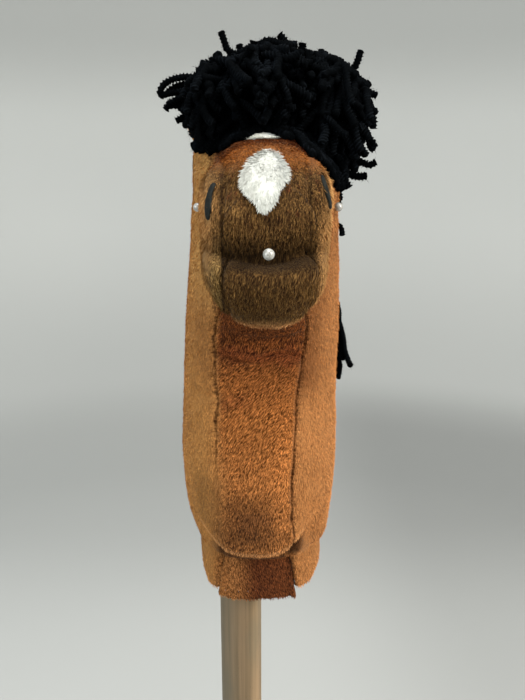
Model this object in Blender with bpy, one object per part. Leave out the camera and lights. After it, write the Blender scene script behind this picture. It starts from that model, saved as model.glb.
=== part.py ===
"""Hobby horse: a stuffed plush horse head, not yet trimmed, pushed onto a round wooden stick.

Metres, +Z up. The origin is the centre of the stick's lower end and the horse looks along -Y.
The head is drawn in its own frame: x from the head's middle plane, y from the stick's axis and
z from the raw hem of the neck.
"""

import math

import bmesh
import bpy
from mathutils import Matrix, Vector
from mathutils.bvhtree import BVHTree

MM = 0.001

# Stick
STICK_DIAMETER = 25.0 * MM
STICK_LENGTH = 800.0 * MM
STICK_EDGE = 1.2 * MM
SOCKET_DEPTH = 200.0 * MM
SOCKET_CLEARANCE = 0.8 * MM
HEAD_SHIFT = 12.0 * MM
HEAD_SWAY = 2.5 * MM

# Plush body, as widths and as reaches from the stick's axis
HEM_WIDTH = 64.0 * MM
HEM_FRONT = 30.0 * MM
HEM_BACK = 36.0 * MM
NECK_WIDTH = 85.5 * MM
CHEST_FRONT = 61.0 * MM
NECK_BACK = 51.0 * MM
CROWN_WIDTH = 74.0 * MM
MUZZLE_WIDTH = 48.0 * MM
MUZZLE_FRONT = 126.0 * MM

# Heights above the hem
TUCK_HEIGHT = 30.0 * MM
THROAT_HEIGHT = 156.0 * MM
CHIN_HEIGHT = 173.5 * MM
MOUTH_HEIGHT = 205.0 * MM
NOSE_HEIGHT = 242.0 * MM
POLL_HEIGHT = 267.0 * MM

# Sheets, filling and the gap between pieces that touch
PLUSH = 2.0 * MM
GAP = 0.3 * MM
FILLING_RECESS = 4.0 * MM

# Middle gussets between the two side panels
NOSE_GUSSET_FRONT = 31.0 * MM
NOSE_GUSSET_BROW = 42.0 * MM
THROAT_GUSSET_CHIN = 32.0 * MM
THROAT_GUSSET_NECK = 38.0 * MM
THROAT_GUSSET_ASIDE = 3.0 * MM

# White markings, nostrils and eyes
MARKING_THICKNESS = 2.2 * MM
SNIP_WIDTH = 18.5 * MM
SNIP_LENGTH = 25.0 * MM
SNIP_ASIDE = 2.0 * MM
SNIP_ABOVE_MOUTH = 24.0 * MM
STAR_WIDTH = 22.0 * MM
STAR_LENGTH = 26.0 * MM
NOSTRIL_LENGTH = 15.5 * MM
NOSTRIL_WIDTH = 4.6 * MM
NOSTRIL_THICKNESS = 1.0 * MM
NOSTRIL_BACK = 11.5 * MM
NOSTRIL_BELOW_NOSE = 20.0 * MM
EYE_LENGTH = 15.0 * MM
EYE_OPENING = 10.0 * MM
EYE_THICKNESS = 1.0 * MM
EYE_REACH = 16.0 * MM
EYE_BELOW_POLL = 32.0 * MM

# Ears
EAR_LENGTH = 44.0 * MM
EAR_WIDTH = 26.0 * MM
EAR_THICKNESS = 3.2 * MM
EAR_CUP = 5.0 * MM
EAR_ROOT = 6.0 * MM

# Yarn and the tape that it is sewn to
TAPE_WIDTH = 10.0 * MM
TAPE_THICKNESS = 1.5 * MM
TAPE_END_HEIGHT = 112.0 * MM
FORELOCK_DEPTH = 60.0 * MM
FORELOCK_MIDDLE_WIDTH = 34.0 * MM
FORELOCK_MIDDLE_HEIGHT = 50.0 * MM
FORELOCK_SIDE_WIDTH = 40.0 * MM
FORELOCK_LEFT_HEIGHT = 43.0 * MM
FORELOCK_RIGHT_HEIGHT = 62.0 * MM
FORELOCK_ABOVE_POLL = 15.0 * MM
FORELOCK_OVERHANG = 12.0 * MM
FORELOCK_LEFT_AHEAD = 24.0 * MM
FORELOCK_MIDDLE_AHEAD = 32.0 * MM
FORELOCK_RIGHT_AHEAD = 21.0 * MM
MANE_WIDTH = 66.0 * MM
MANE_DEPTH = 52.0 * MM
MANE_LENGTH = 168.0 * MM
MANE_ASIDE = 20.0 * MM
MANE_SINK = 13.0 * MM
MANE_DROP = 4.0 * MM

# Pearl-headed pins
PEARL_DIAMETER = 4.0 * MM
PIN_DIAMETER = 0.6 * MM
PIN_LENGTH = 28.0 * MM
PIN_IN_PEARL = 1.4 * MM
SIDE_PIN_REACH = 48.0 * MM
SIDE_PIN_STAGGER = 1.5 * MM
SIDE_PIN_BELOW_NOSE = 26.0 * MM
PIN_ROOM = 1.5 * MM

# Facets
RING_SIDES = 24
RINGS_BETWEEN = 2
FAR = 400.0 * MM

HEM_Z = STICK_LENGTH - SOCKET_DEPTH


def clear_scene():
    for obj in list(bpy.data.objects):
        bpy.data.objects.remove(obj, do_unlink=True)


def material(name, color, roughness, metallic=0.0):
    found = bpy.data.materials.get(name)
    if found:
        return found
    made = bpy.data.materials.new(name)
    made.use_nodes = True
    shader = made.node_tree.nodes["Principled BSDF"]
    shader.inputs["Base Color"].default_value = (*color, 1.0)
    shader.inputs["Roughness"].default_value = roughness
    shader.inputs["Metallic"].default_value = metallic
    return made


CHESTNUT = ("chestnut_plush", (0.31, 0.14, 0.055), 0.95)
WHITE_PLUSH = ("white_plush", (0.84, 0.82, 0.76), 0.95)
WADDING = ("wadding", (0.85, 0.85, 0.83), 1.0)
BLACK_YARN = ("black_yarn", (0.006, 0.006, 0.007), 0.9)
SLATE_PATCH = ("slate_patch", (0.03, 0.035, 0.038), 0.6)
BEECH = ("beech", (0.40, 0.29, 0.17), 0.6)
PEARL = ("pearl", (0.80, 0.79, 0.76), 0.25)
PIN_STEEL = ("pin_steel", (0.60, 0.60, 0.62), 0.3, 1.0)


def mesh_object(name, bm, look=None, parent=None):
    """An object from a bmesh whose faces are turned to point out."""
    bmesh.ops.recalc_face_normals(bm, faces=bm.faces)
    if bm.calc_volume(signed=True) < 0:
        bmesh.ops.reverse_faces(bm, faces=bm.faces)
    mesh = bpy.data.meshes.new(name)
    bm.to_mesh(mesh)
    bm.free()
    mesh.shade_smooth()
    mesh.set_sharp_from_angle(angle=math.radians(40))
    obj = bpy.data.objects.new(name, mesh)
    bpy.context.scene.collection.objects.link(obj)
    if look:
        mesh.materials.append(material(*look))
    if parent:
        obj.parent = parent
    return obj


def cutter(name, bm, parent=None):
    obj = mesh_object(name, bm, parent=parent)
    obj.hide_render = True
    obj.display_type = "WIRE"
    return obj


def boolean(obj, other, operation="DIFFERENCE"):
    modifier = obj.modifiers.new(f"{operation.lower()} {other.name}", "BOOLEAN")
    modifier.operation = operation
    modifier.object = other
    return modifier


def empty(name, location, parent=None):
    obj = bpy.data.objects.new(name, None)
    bpy.context.scene.collection.objects.link(obj)
    obj.location = location
    obj.empty_display_size = 0.02
    if parent:
        obj.parent = parent
    return obj


# Plush body form


def body_rows():
    """Stations along the body: under point (y, z), over point (y, z), width, squareness, how much
    wider the top is than the bottom, and how far it sits aside as a share of HEAD_SWAY. They go
    up the neck and turn forward at the throat."""
    throat = THROAT_HEIGHT
    chin = CHIN_HEIGHT
    nose = NOSE_HEIGHT
    poll = POLL_HEIGHT
    front = -MUZZLE_FRONT
    chest = -CHEST_FRONT
    back = NECK_BACK
    hem = -HEM_FRONT
    neck = NECK_WIDTH
    crown = CROWN_WIDTH
    muzzle = MUZZLE_WIDTH
    mouth = MOUTH_HEIGHT
    tuck = TUCK_HEIGHT
    waist = (HEM_WIDTH + neck) / 2

    def below_mouth(share):
        return mouth - (mouth - chin) * share

    def above_mouth(share):
        return mouth + (nose - mouth) * share

    return [
        (hem, 0.0, HEM_BACK, 0.0, HEM_WIDTH, 2.6, 0.0, -0.3),
        (hem - 1 * MM, tuck * 0.5, HEM_BACK + 4 * MM, tuck * 0.43, HEM_WIDTH + 3 * MM, 2.6, 0.0, -0.3),
        (hem - 3 * MM, tuck, back - 7 * MM, tuck - 8 * MM, waist - 2 * MM, 2.5, 0.0, -0.3),
        (chest + 16 * MM, tuck + 5 * MM, back - 5 * MM, tuck, neck - 8 * MM, 2.4, 0.0, -0.2),
        (chest + 5 * MM, tuck + 15 * MM, back - 3 * MM, tuck + 12 * MM, neck - 4 * MM, 2.4, 0.0, -0.2),
        (chest, tuck + 32 * MM, back - 1 * MM, tuck + 30 * MM, neck - 1 * MM, 2.4, 0.0, -0.3),
        (chest, tuck + 57 * MM, back, tuck + 57 * MM, neck, 2.4, 0.0, -0.4),
        (chest + 3 * MM, throat - 41 * MM, back, throat - 31 * MM, neck - 3 * MM, 2.4, 0.0, -0.2),
        (chest + 7 * MM, throat - 13 * MM, back, throat + 12 * MM, crown + 6 * MM, 2.4, 0.0, 0.2),
        (chest + 6 * MM, throat, back - 3 * MM, throat + 49 * MM, crown + 3 * MM, 2.4, 0.0, 0.6),
        (chest + 3 * MM, throat + 4 * MM, back - 13 * MM, poll - 29 * MM, crown, 2.4, 0.02, 0.9),
        (chest, throat + 8 * MM, back - 33 * MM, poll - 8 * MM, crown - 4 * MM, 2.4, 0.10, 1.0),
        (chest - 4 * MM, throat + 11 * MM, -6 * MM, poll, crown - 9 * MM, 2.5, 0.24, 1.0),
        (front + 54 * MM, chin - 5 * MM, front + 98 * MM, poll - 7 * MM, muzzle + 9 * MM, 2.5, 0.27, 1.0),
        (front + 46 * MM, chin - 4 * MM, front + 80 * MM, nose + 6 * MM, muzzle + 6 * MM, 2.5, 0.10, 0.9),
        (front + 38 * MM, chin - 2 * MM, front + 60 * MM, nose + 2 * MM, muzzle + 4 * MM, 2.4, 0.02, 0.7),
        (front + 29 * MM, chin - 1 * MM, front + 40 * MM, nose + 1 * MM, muzzle + 2 * MM, 2.4, 0.0, 0.5),
        (front + 19 * MM, below_mouth(0.97), front + 24 * MM, above_mouth(0.97), muzzle, 2.4, 0.0, 0.3),
        (front + 11 * MM, below_mouth(0.87), front + 13 * MM, above_mouth(0.87), muzzle * 0.94, 2.4, 0, 0.3),
        (front + 5 * MM, below_mouth(0.65), front + 6 * MM, above_mouth(0.68), muzzle * 0.81, 2.3, 0.0, 0.3),
        (front + 1 * MM, below_mouth(0.29), front + 2 * MM, above_mouth(0.41), muzzle * 0.52, 2.1, 0.0, 0.3),
    ]


def smooth_rows(rows, between):
    """Catmull-Rom curve through the stations, with extra ones between them."""
    made = []
    last = len(rows) - 1
    for i in range(last):
        before, a, b, after = rows[max(i - 1, 0)], rows[i], rows[i + 1], rows[min(i + 2, last)]
        for step in range(between):
            t = step / between
            made.append(
                [
                    0.5
                    * (
                        2 * q
                        + (r - p) * t
                        + (2 * p - 5 * q + 4 * r - s) * t**2
                        + (3 * q - p - 3 * r + s) * t**3
                    )
                    for p, q, r, s in zip(before, a, b, after)
                ]
            )
    made.append(list(rows[last]))
    return made


def signed_power(value, power):
    return math.copysign(abs(value) ** power, value)


def ring_point(row, angle):
    """A point of a station's outline. Angle 0 is its over point and pi its under point."""
    under_y, under_z, over_y, over_z, width, squareness, top, aside = row
    along = signed_power(math.cos(angle), 2 / squareness)
    across = signed_power(math.sin(angle), 2 / squareness)
    y = (under_y + over_y) / 2 + along * (over_y - under_y) / 2
    z = (under_z + over_z) / 2 + along * (over_z - under_z) / 2
    middle = HEAD_SHIFT + aside * HEAD_SWAY
    return Vector((middle + width / 2 * (1 + top * along) * across, y, z))


def body_form(offset=0.0, drop=0.0):
    """The stuffed shape, closed, with its surface moved out by offset. A drop carries the open
    end that far below the hem, so that the form can cut a through hollow."""
    rows = smooth_rows(body_rows(), RINGS_BETWEEN)
    angles = [2 * math.pi * k / RING_SIDES for k in range(RING_SIDES)]
    bm = bmesh.new()
    rings = [[bm.verts.new(ring_point(row, angle)) for angle in angles] for row in rows]
    for lower, upper in zip(rings, rings[1:]):
        for k in range(RING_SIDES):
            n = (k + 1) % RING_SIDES
            corners = (lower[k], lower[n], upper[n], upper[k])
            if k < RING_SIDES / 2:
                corners = corners[1:] + corners[:1]
            # Two triangles, so that forms with unlike offsets bend along the same lines
            bm.faces.new(corners[:3])
            bm.faces.new((corners[0], corners[2], corners[3]))
    tip = bm.verts.new((HEAD_SHIFT + rows[-1][7] * HEAD_SWAY, -MUZZLE_FRONT, MOUTH_HEIGHT + 3 * MM))
    for k in range(RING_SIDES):
        bm.faces.new((rings[-1][k], rings[-1][(k + 1) % RING_SIDES], tip))
    bm.normal_update()
    outward = 1.0 if rings[6][0].normal.y > 0 else -1.0
    hem = set(rings[0])
    moves = {}
    for vert in bm.verts:
        way = vert.normal * outward
        if vert in hem:
            way.z = 0.0
            way.normalize()
        moves[vert] = way * offset
    for vert, move in moves.items():
        vert.co += move
    end = rings[0]
    if drop:
        lowest = [bm.verts.new(vert.co - Vector((0, 0, drop))) for vert in end]
        for k in range(RING_SIDES):
            n = (k + 1) % RING_SIDES
            bm.faces.new((lowest[k], lowest[n], end[n], end[k]))
        end = lowest
    bm.faces.new(end)
    return bm


def prism(outline, low, high, axis):
    """A closed prism along an axis on a 2D outline, whose points are the other two in order."""
    bm = bmesh.new()

    def place(point, level):
        spot = {
            "x": (level, point[0], point[1]),
            "y": (point[0], level, point[1]),
            "z": (point[0], point[1], level),
        }[axis]
        return Vector(spot) + Vector((HEAD_SHIFT, 0, 0))

    start = [bm.verts.new(place(point, low)) for point in outline]
    end = [bm.verts.new(place(point, high)) for point in outline]
    bm.faces.new(start)
    bm.faces.new(end)
    for k in range(len(outline)):
        n = (k + 1) % len(outline)
        bm.faces.new((start[k], start[n], end[n], end[k]))
    return bm


def box(low, high):
    outline = [(low[0], low[1]), (high[0], low[1]), (high[0], high[1]), (low[0], high[1])]
    return prism(outline, low[2], high[2], "z")


def nose_outline(spare=0.0):
    """Plan of the nose gusset, from in front of the muzzle back to the poll."""
    front = NOSE_GUSSET_FRONT / 2 + spare
    brow = NOSE_GUSSET_BROW / 2 + spare
    crown = TAPE_WIDTH / 2 + spare
    end = 12 * MM + spare
    ahead = -MUZZLE_FRONT - 20 * MM
    bridge = -MUZZLE_FRONT + 14 * MM
    right = [(front, ahead), (front, bridge), (brow, -24 * MM), (crown, end)]
    return right + [(-x, y) for x, y in reversed(right)]


def throat_outline(spare=0.0):
    """Front view of the throat gusset as (x, z), from below the hem up to the mouth."""
    neck = THROAT_GUSSET_NECK / 2 + spare
    chin = THROAT_GUSSET_CHIN / 2 + spare
    aside = -THROAT_GUSSET_ASIDE
    bend = THROAT_HEIGHT - 14 * MM
    jaw = CHIN_HEIGHT + 6 * MM
    top = MOUTH_HEIGHT - GAP / 2 + spare
    right = [(aside + neck, -20 * MM), (aside + neck, bend), (chin, jaw), (chin, top)]
    left = [(-chin, top), (-chin, jaw), (aside - neck, bend), (aside - neck, -20 * MM)]
    return right + left


def cylinder(radius, low, high, sides, center=(0.0, 0.0)):
    bm = bmesh.new()
    bmesh.ops.create_cone(
        bm, cap_ends=True, segments=sides, radius1=radius, radius2=radius, depth=high - low
    )
    bmesh.ops.translate(bm, verts=bm.verts, vec=(center[0], center[1], (low + high) / 2))
    return bm


# Places on the body's surface


class Surface:
    """Finds points on the stuffed shape, so that what is sewn or pinned to it follows it."""

    def __init__(self):
        bm = body_form()
        bmesh.ops.recalc_face_normals(bm, faces=bm.faces)
        if bm.calc_volume(signed=True) < 0:
            bmesh.ops.reverse_faces(bm, faces=bm.faces)
        self.tree = BVHTree.FromBMesh(bm)
        bm.free()

    def hit(self, start, way):
        """Point and outward normal where a line from start first meets the body."""
        point, normal, _, _ = self.tree.ray_cast(Vector(start), Vector(way).normalized())
        return point, normal

    def side(self, sign, y, z):
        return self.hit((HEAD_SHIFT + sign * FAR, y, z), (-sign, 0, 0))


def frame_at(point, up, toward):
    """Matrix with local Z along up and local Y as near as can be to toward."""
    z = Vector(up).normalized()
    x = Vector(toward).cross(z).normalized()
    y = z.cross(x)
    matrix = Matrix((x, y, z)).transposed().to_4x4()
    matrix.translation = point
    return matrix


# Stick


def make_stick():
    bm = cylinder(STICK_DIAMETER / 2, 0.0, STICK_LENGTH, 40)
    ends = [edge for edge in bm.edges if abs(edge.verts[0].co.z - edge.verts[1].co.z) < 1e-6]
    bmesh.ops.bevel(bm, geom=ends, offset=STICK_EDGE, segments=2, profile=0.5, affect="EDGES")
    mesh_object("stick", bm, BEECH)


# Plush panels and filling


def make_cutters(head):
    """Forms and blocks that cut the panels and the filling out of one stuffed shape."""
    half = GAP / 2
    hollow = -STICK_DIAMETER / 3
    throat = (-CHEST_FRONT, THROAT_HEIGHT)
    crown = (NECK_BACK - 31 * MM, POLL_HEIGHT - 4 * MM)
    slope = (crown[1] - throat[1]) / (crown[0] - throat[0])

    def on_split(y, lift):
        return (y, throat[1] + (y - throat[0]) * slope + lift)

    low, high = -2 * CHEST_FRONT, 2 * CHEST_FRONT
    above = [on_split(low, -half), on_split(high, -half), (-FAR, 2 * FAR), (-FAR, -FAR)]
    below = [on_split(low, half), on_split(high, half), (FAR, -FAR), (low, -FAR)]
    return {
        "inner": cutter("cut_inner_form", body_form(-PLUSH, drop=20 * MM), head),
        "nose": cutter("cut_nose", prism(nose_outline(), MOUTH_HEIGHT + half, FAR, "z"), head),
        "nose_wide": cutter("cut_nose_wide", prism(nose_outline(GAP), MOUTH_HEIGHT - half, FAR, "z"), head),
        "throat": cutter("cut_throat", prism(throat_outline(), -FAR, hollow, "y"), head),
        "throat_wide": cutter("cut_throat_wide", prism(throat_outline(GAP), -FAR, hollow, "y"), head),
        "left": cutter("cut_left", box((-half, -FAR, -FAR), (FAR, FAR, FAR)), head),
        "right": cutter("cut_right", box((-FAR, -FAR, -FAR), (half, FAR, FAR)), head),
        "recess": cutter("cut_recess", box((-FAR, -FAR, -FAR), (FAR, FAR, FILLING_RECESS)), head),
        "above": cutter("cut_head_side", prism(above, -FAR, FAR, "x"), head),
        "below": cutter("cut_neck_side", prism(below, -FAR, FAR, "x"), head),
        "socket": cutter(
            "cut_socket",
            cylinder(STICK_DIAMETER / 2 + SOCKET_CLEARANCE, -20 * MM, SOCKET_DEPTH + GAP, 32),
            head,
        ),
    }


def make_panels(head, cut):
    """Two side panels with a gusset over the nose and one from the mouth down to the hem."""
    panels = {}
    for name in ("left_side_panel", "right_side_panel", "nose_gusset", "throat_gusset"):
        panels[name] = mesh_object(name, body_form(), CHESTNUT, head)
        boolean(panels[name], cut["inner"])
    for name, half in (("left_side_panel", "left"), ("right_side_panel", "right")):
        boolean(panels[name], cut["nose_wide"])
        boolean(panels[name], cut["throat_wide"])
        boolean(panels[name], cut[half])
    boolean(panels["nose_gusset"], cut["nose"], "INTERSECT")
    boolean(panels["throat_gusset"], cut["throat"], "INTERSECT")
    return panels


def make_filling(head, cut):
    filling = {}
    for name, away in (("neck_stuffing", "above"), ("head_stuffing", "below")):
        filling[name] = mesh_object(name, body_form(-PLUSH - GAP), WADDING, head)
        boolean(filling[name], cut[away])
    boolean(filling["neck_stuffing"], cut["recess"])
    boolean(filling["neck_stuffing"], cut["socket"])
    return filling


# What is sewn on


def sewn_patch(name, outline, place, thickness, look, head, trim, rings=3):
    """A flat patch lying on the body. The outline is (x, y) in the plane of place, whose local Z
    points away from the body. Its underside sinks into the body and is trimmed back to it."""
    bm = bmesh.new()
    levels = [(rings - k) / rings for k in range(rings)]
    to_local = place.inverted()
    way = -place.to_3x3().col[2]
    surface = SURFACE

    def drop(x, y, lift):
        start = place @ Vector((x, y, 60 * MM))
        point, _ = surface.hit(start, way)
        return to_local @ point + Vector((0, 0, lift))

    def sheet(lift):
        loops = [[bm.verts.new(drop(x * s, y * s, lift)) for x, y in outline] for s in levels]
        center = bm.verts.new(drop(0.0, 0.0, lift))
        for outer, inner in zip(loops, loops[1:]):
            for k in range(len(outline)):
                n = (k + 1) % len(outline)
                bm.faces.new((outer[k], outer[n], inner[n], inner[k]))
        for k in range(len(outline)):
            bm.faces.new((loops[-1][k], loops[-1][(k + 1) % len(outline)], center))
        return loops[0]

    top = sheet(GAP + thickness)
    bottom = sheet(-1.5 * MM)
    for k in range(len(outline)):
        n = (k + 1) % len(outline)
        bm.faces.new((top[k], top[n], bottom[n], bottom[k]))
    obj = mesh_object(name, bm, look, head)
    obj.matrix_local = place
    boolean(obj, trim)
    return obj


def rounded_kite(width, length, high, points=20):
    """Kite with soft corners, its widest place at the fraction high of its length."""
    made = []
    for k in range(points):
        angle = 2 * math.pi * k / points
        x = signed_power(math.cos(angle), 1.25) * width / 2
        y = signed_power(math.sin(angle), 1.25)
        y = y * length * (1 - high) if y > 0 else y * length * high
        made.append((x, y))
    return made


def make_markings(head, trim):
    up = Vector((0, 0, 1))
    start = (HEAD_SHIFT, -MUZZLE_FRONT - 60 * MM, NOSE_HEIGHT + 50 * MM)
    snip_spot = Vector((HEAD_SHIFT - SNIP_ASIDE, -MUZZLE_FRONT + 6 * MM, MOUTH_HEIGHT + SNIP_ABOVE_MOUTH))
    point, _ = SURFACE.hit(start, snip_spot - Vector(start))
    place = frame_at(point, (0, -0.8, 0.6), up)
    outline = rounded_kite(SNIP_WIDTH, SNIP_LENGTH, 0.58)
    sewn_patch("nose_snip", outline, place, MARKING_THICKNESS, WHITE_PLUSH, head, trim)
    point, normal = SURFACE.hit((HEAD_SHIFT, -48 * MM, FAR), (0, 0, -1))
    place = frame_at(point, normal, (0, 1, 0))
    outline = rounded_kite(STAR_WIDTH, STAR_LENGTH, 0.5)
    sewn_patch("forehead_star", outline, place, MARKING_THICKNESS, WHITE_PLUSH, head, trim)


def make_nostrils(head, trim):
    for side, sign in (("left", -1), ("right", 1)):
        point, normal = SURFACE.side(sign, NOSTRIL_BACK - MUZZLE_FRONT, NOSE_HEIGHT - NOSTRIL_BELOW_NOSE)
        place = frame_at(point, normal, (0, 0.2, 1))
        outline = rounded_kite(NOSTRIL_WIDTH, NOSTRIL_LENGTH, 0.6, 16)
        sewn_patch(f"{side}_nostril", outline, place, NOSTRIL_THICKNESS, SLATE_PATCH, head, trim, rings=2)


def make_eyes(head, trim):
    """Two almond patches at the temples, and the space over each that the yarn keeps out of."""
    spaces = []
    for side, sign in (("left", -1), ("right", 1)):
        point, normal = SURFACE.side(sign, -EYE_REACH, POLL_HEIGHT - EYE_BELOW_POLL)
        place = frame_at(point, normal, (0, 0.25, 1))
        outline = rounded_kite(EYE_LENGTH, EYE_OPENING, 0.5, 16)
        sewn_patch(f"{side}_eye", outline, place, EYE_THICKNESS, SLATE_PATCH, head, trim, rings=2)
        over = EYE_THICKNESS + 4 * GAP
        space = cutter(f"cut_{side}_eye_space", cylinder(EYE_LENGTH / 2 + 2 * GAP, -2 * MM, over, 16), head)
        space.matrix_local = place
        spaces.append(space)
    return spaces


def ear_half_width(t):
    """Half the ear's width at the fraction t of its length, from a pinched base to the tip."""
    return EAR_WIDTH / 2 * math.sin(math.pi * (0.20 + 0.80 * t)) ** 0.75 if t < 1 else 0.0


def ear_leaf(spare=0.0):
    """The ear, standing along local Z with its hollow side toward local -Y."""
    steps, columns = 8, 6
    bm = bmesh.new()

    def sheet(lift):
        rows = []
        for i in range(steps):
            t = i / steps
            half = ear_half_width(t) + spare
            row = []
            for j in range(columns + 1):
                across = 2 * j / columns - 1
                cup = EAR_CUP * across**2 * (1 - t)
                row.append(bm.verts.new((half * across, cup + lift, EAR_LENGTH * t - EAR_ROOT - spare)))
            rows.append(row)
        tip = bm.verts.new((0, lift, EAR_LENGTH - EAR_ROOT + spare))
        for low, high in zip(rows, rows[1:]):
            for j in range(columns):
                bm.faces.new((low[j], low[j + 1], high[j + 1], high[j]))
        for j in range(columns):
            bm.faces.new((rows[-1][j], rows[-1][j + 1], tip))
        return rows[0] + [row[-1] for row in rows[1:]] + [tip] + [row[0] for row in rows[:0:-1]]

    front = sheet(-spare)
    back = sheet(EAR_THICKNESS + spare)
    for k in range(len(front)):
        n = (k + 1) % len(front)
        bm.faces.new((front[k], front[n], back[n], back[k]))
    return bm


def make_ears(head, trim):
    """Two ears, and the space around each that the yarn keeps out of."""
    spaces = []
    for side, sign in (("left", -1), ("right", 1)):
        point, _ = SURFACE.hit((HEAD_SHIFT + sign * 25 * MM, 9 * MM, FAR), (0, 0, -1))
        place = frame_at(point, (sign * 0.42, 0.30, 0.86), (sign * -0.35, 1, 0))
        ear = mesh_object(f"{side}_ear", ear_leaf(), CHESTNUT, head)
        ear.matrix_local = place
        boolean(ear, trim)
        space = cutter(f"cut_{side}_ear_space", ear_leaf(2 * GAP), head)
        space.matrix_local = place
        spaces.append(space)
    return spaces


def over_line(start_y, end_z):
    """Points over the middle of the head and down the crest, from start_y to end_z."""
    rows = smooth_rows(body_rows(), 4)
    points = [Vector((HEAD_SHIFT, row[2], row[3])) for row in reversed(rows)]
    return [p for p in points if p.z > end_z and (p.y > start_y)]


def make_tape(head, trim):
    """The tape that the yarn is sewn to, over the poll and down the crest."""
    path = over_line(-32 * MM, TAPE_END_HEIGHT)[::2]
    bm = bmesh.new()
    sections = []
    for i, point in enumerate(path):
        ahead = path[min(i + 1, len(path) - 1)] - path[max(i - 1, 0)]
        out = Vector((0, ahead.z, -ahead.y)).normalized() * -1
        corners = []
        for across, lift in ((-1, 1), (1, 1), (1, -1), (-1, -1)):
            high = GAP + TAPE_THICKNESS if lift > 0 else -1.5 * MM
            corners.append(bm.verts.new(point + out * high + Vector((across * TAPE_WIDTH / 2, 0, 0))))
        sections.append(corners)
    for a, b in zip(sections, sections[1:]):
        for k in range(4):
            n = (k + 1) % 4
            bm.faces.new((a[k], a[n], b[n], b[k]))
    bm.faces.new(sections[0])
    bm.faces.new(sections[-1])
    tape = mesh_object("mane_tape", bm, BLACK_YARN, head)
    boolean(tape, trim)


def egg(center, size, columns=18, rows=10):
    """A closed rounded mass of the given outer size, its center given in the head's frame."""
    bm = bmesh.new()
    bmesh.ops.create_uvsphere(bm, u_segments=columns, v_segments=rows, radius=1.0)
    middle = Vector(center) + Vector((HEAD_SHIFT, 0, 0))
    for vert in bm.verts:
        vert.co = middle + Vector([c * full / 2 for c, full in zip(vert.co, size)])
    return bm


def yarn_bundle(name, shape, low, high, head, spaces):
    """One bundle of thick yarn: a rounded mass kept between two corners of a box."""
    bundle = mesh_object(name, shape, BLACK_YARN, head)
    boolean(bundle, cutter(f"cut_{name}", box(low, high), head), "INTERSECT")
    for space in spaces:
        boolean(bundle, space)


def make_forelock(head, spaces):
    """Three bundles side by side: place, size and the planes that each is kept between."""
    half = FORELOCK_MIDDLE_WIDTH / 2
    edge = half + GAP / 2
    top = POLL_HEIGHT + FORELOCK_ABOVE_POLL
    side = FORELOCK_SIDE_WIDTH
    away = half + FORELOCK_OVERHANG
    left = (-away, -FORELOCK_LEFT_AHEAD, side, FORELOCK_LEFT_HEIGHT, -FAR, -edge)
    middle = (0.0, -FORELOCK_MIDDLE_AHEAD, 4 * half, FORELOCK_MIDDLE_HEIGHT, GAP / 2 - half, half - GAP / 2)
    right = (away + 4 * MM, -FORELOCK_RIGHT_AHEAD, side + 4 * MM, FORELOCK_RIGHT_HEIGHT, edge, FAR)
    for name, bundle in (("forelock_left", left), ("forelock_middle", middle), ("forelock_right", right)):
        x, y, width, height, low, high = bundle
        shape = egg((x, y, top - height / 2), (width, FORELOCK_DEPTH, height))
        yarn_bundle(name, shape, (low, -FAR, -FAR), (high, FAR, FAR), head, spaces)


def make_mane(head, spaces):
    third = MANE_LENGTH / 3
    top = POLL_HEIGHT - MANE_DROP
    center = (MANE_ASIDE, NECK_BACK - MANE_SINK, top - MANE_LENGTH / 2)
    for k, name in enumerate(("mane_upper", "mane_middle", "mane_lower")):
        high = top - k * third - GAP / 2
        low = top - (k + 1) * third + GAP / 2
        shape = egg(center, (MANE_WIDTH, MANE_DEPTH, MANE_LENGTH))
        yarn_bundle(name, shape, (-FAR, -FAR, low), (FAR, FAR, high), head, spaces)


# Pins


def make_pin(name, point, way, head, pierced):
    """A pearl-headed pin pushed in at point. Way is the direction in which it pulls out."""
    place = empty(f"{name}_axis", point, head)
    place.matrix_local = frame_at(point, way, (0, 0.1, 1))
    radius = PEARL_DIAMETER / 2
    seat = GAP + radius
    bm = bmesh.new()
    bmesh.ops.create_uvsphere(bm, u_segments=16, v_segments=10, radius=radius)
    bmesh.ops.translate(bm, verts=bm.verts, vec=(0, 0, seat))
    pearl = mesh_object(f"{name}_pearl", bm, PEARL, place)
    bore_end = GAP + PIN_IN_PEARL
    bore = cutter(
        f"cut_{name}_bore", cylinder(PIN_DIAMETER / 2 + GAP, -2 * MM, bore_end + GAP, 10), place
    )
    boolean(pearl, bore)
    mesh_object(f"{name}_shaft", cylinder(PIN_DIAMETER / 2, -PIN_LENGTH, bore_end, 10), PIN_STEEL, place)
    hole = cutter(
        f"cut_{name}_hole", cylinder(PIN_DIAMETER / 2 + GAP, -PIN_LENGTH - GAP, 5 * MM, 10), place
    )
    for piece in pierced:
        boolean(piece, hole)


def side_pin_point(sign):
    """The two side pins are staggered, so that their shafts pass each other inside."""
    reach = SIDE_PIN_REACH - sign * SIDE_PIN_STAGGER / 2
    return SURFACE.side(sign, -reach, NOSE_HEIGHT - SIDE_PIN_BELOW_NOSE)[0]


def side_pin_spaces(head):
    """The way out of each side pin, which the yarn keeps out of."""
    spaces = []
    for side, sign in (("left", -1), ("right", 1)):
        bm = cylinder(PEARL_DIAMETER / 2 + PIN_ROOM, -2 * MM, FAR, 16)
        space = cutter(f"cut_{side}_pin_space", bm, head)
        space.matrix_local = frame_at(side_pin_point(sign), (sign, 0, 0), (0, 0, 1))
        spaces.append(space)
    return spaces


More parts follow.
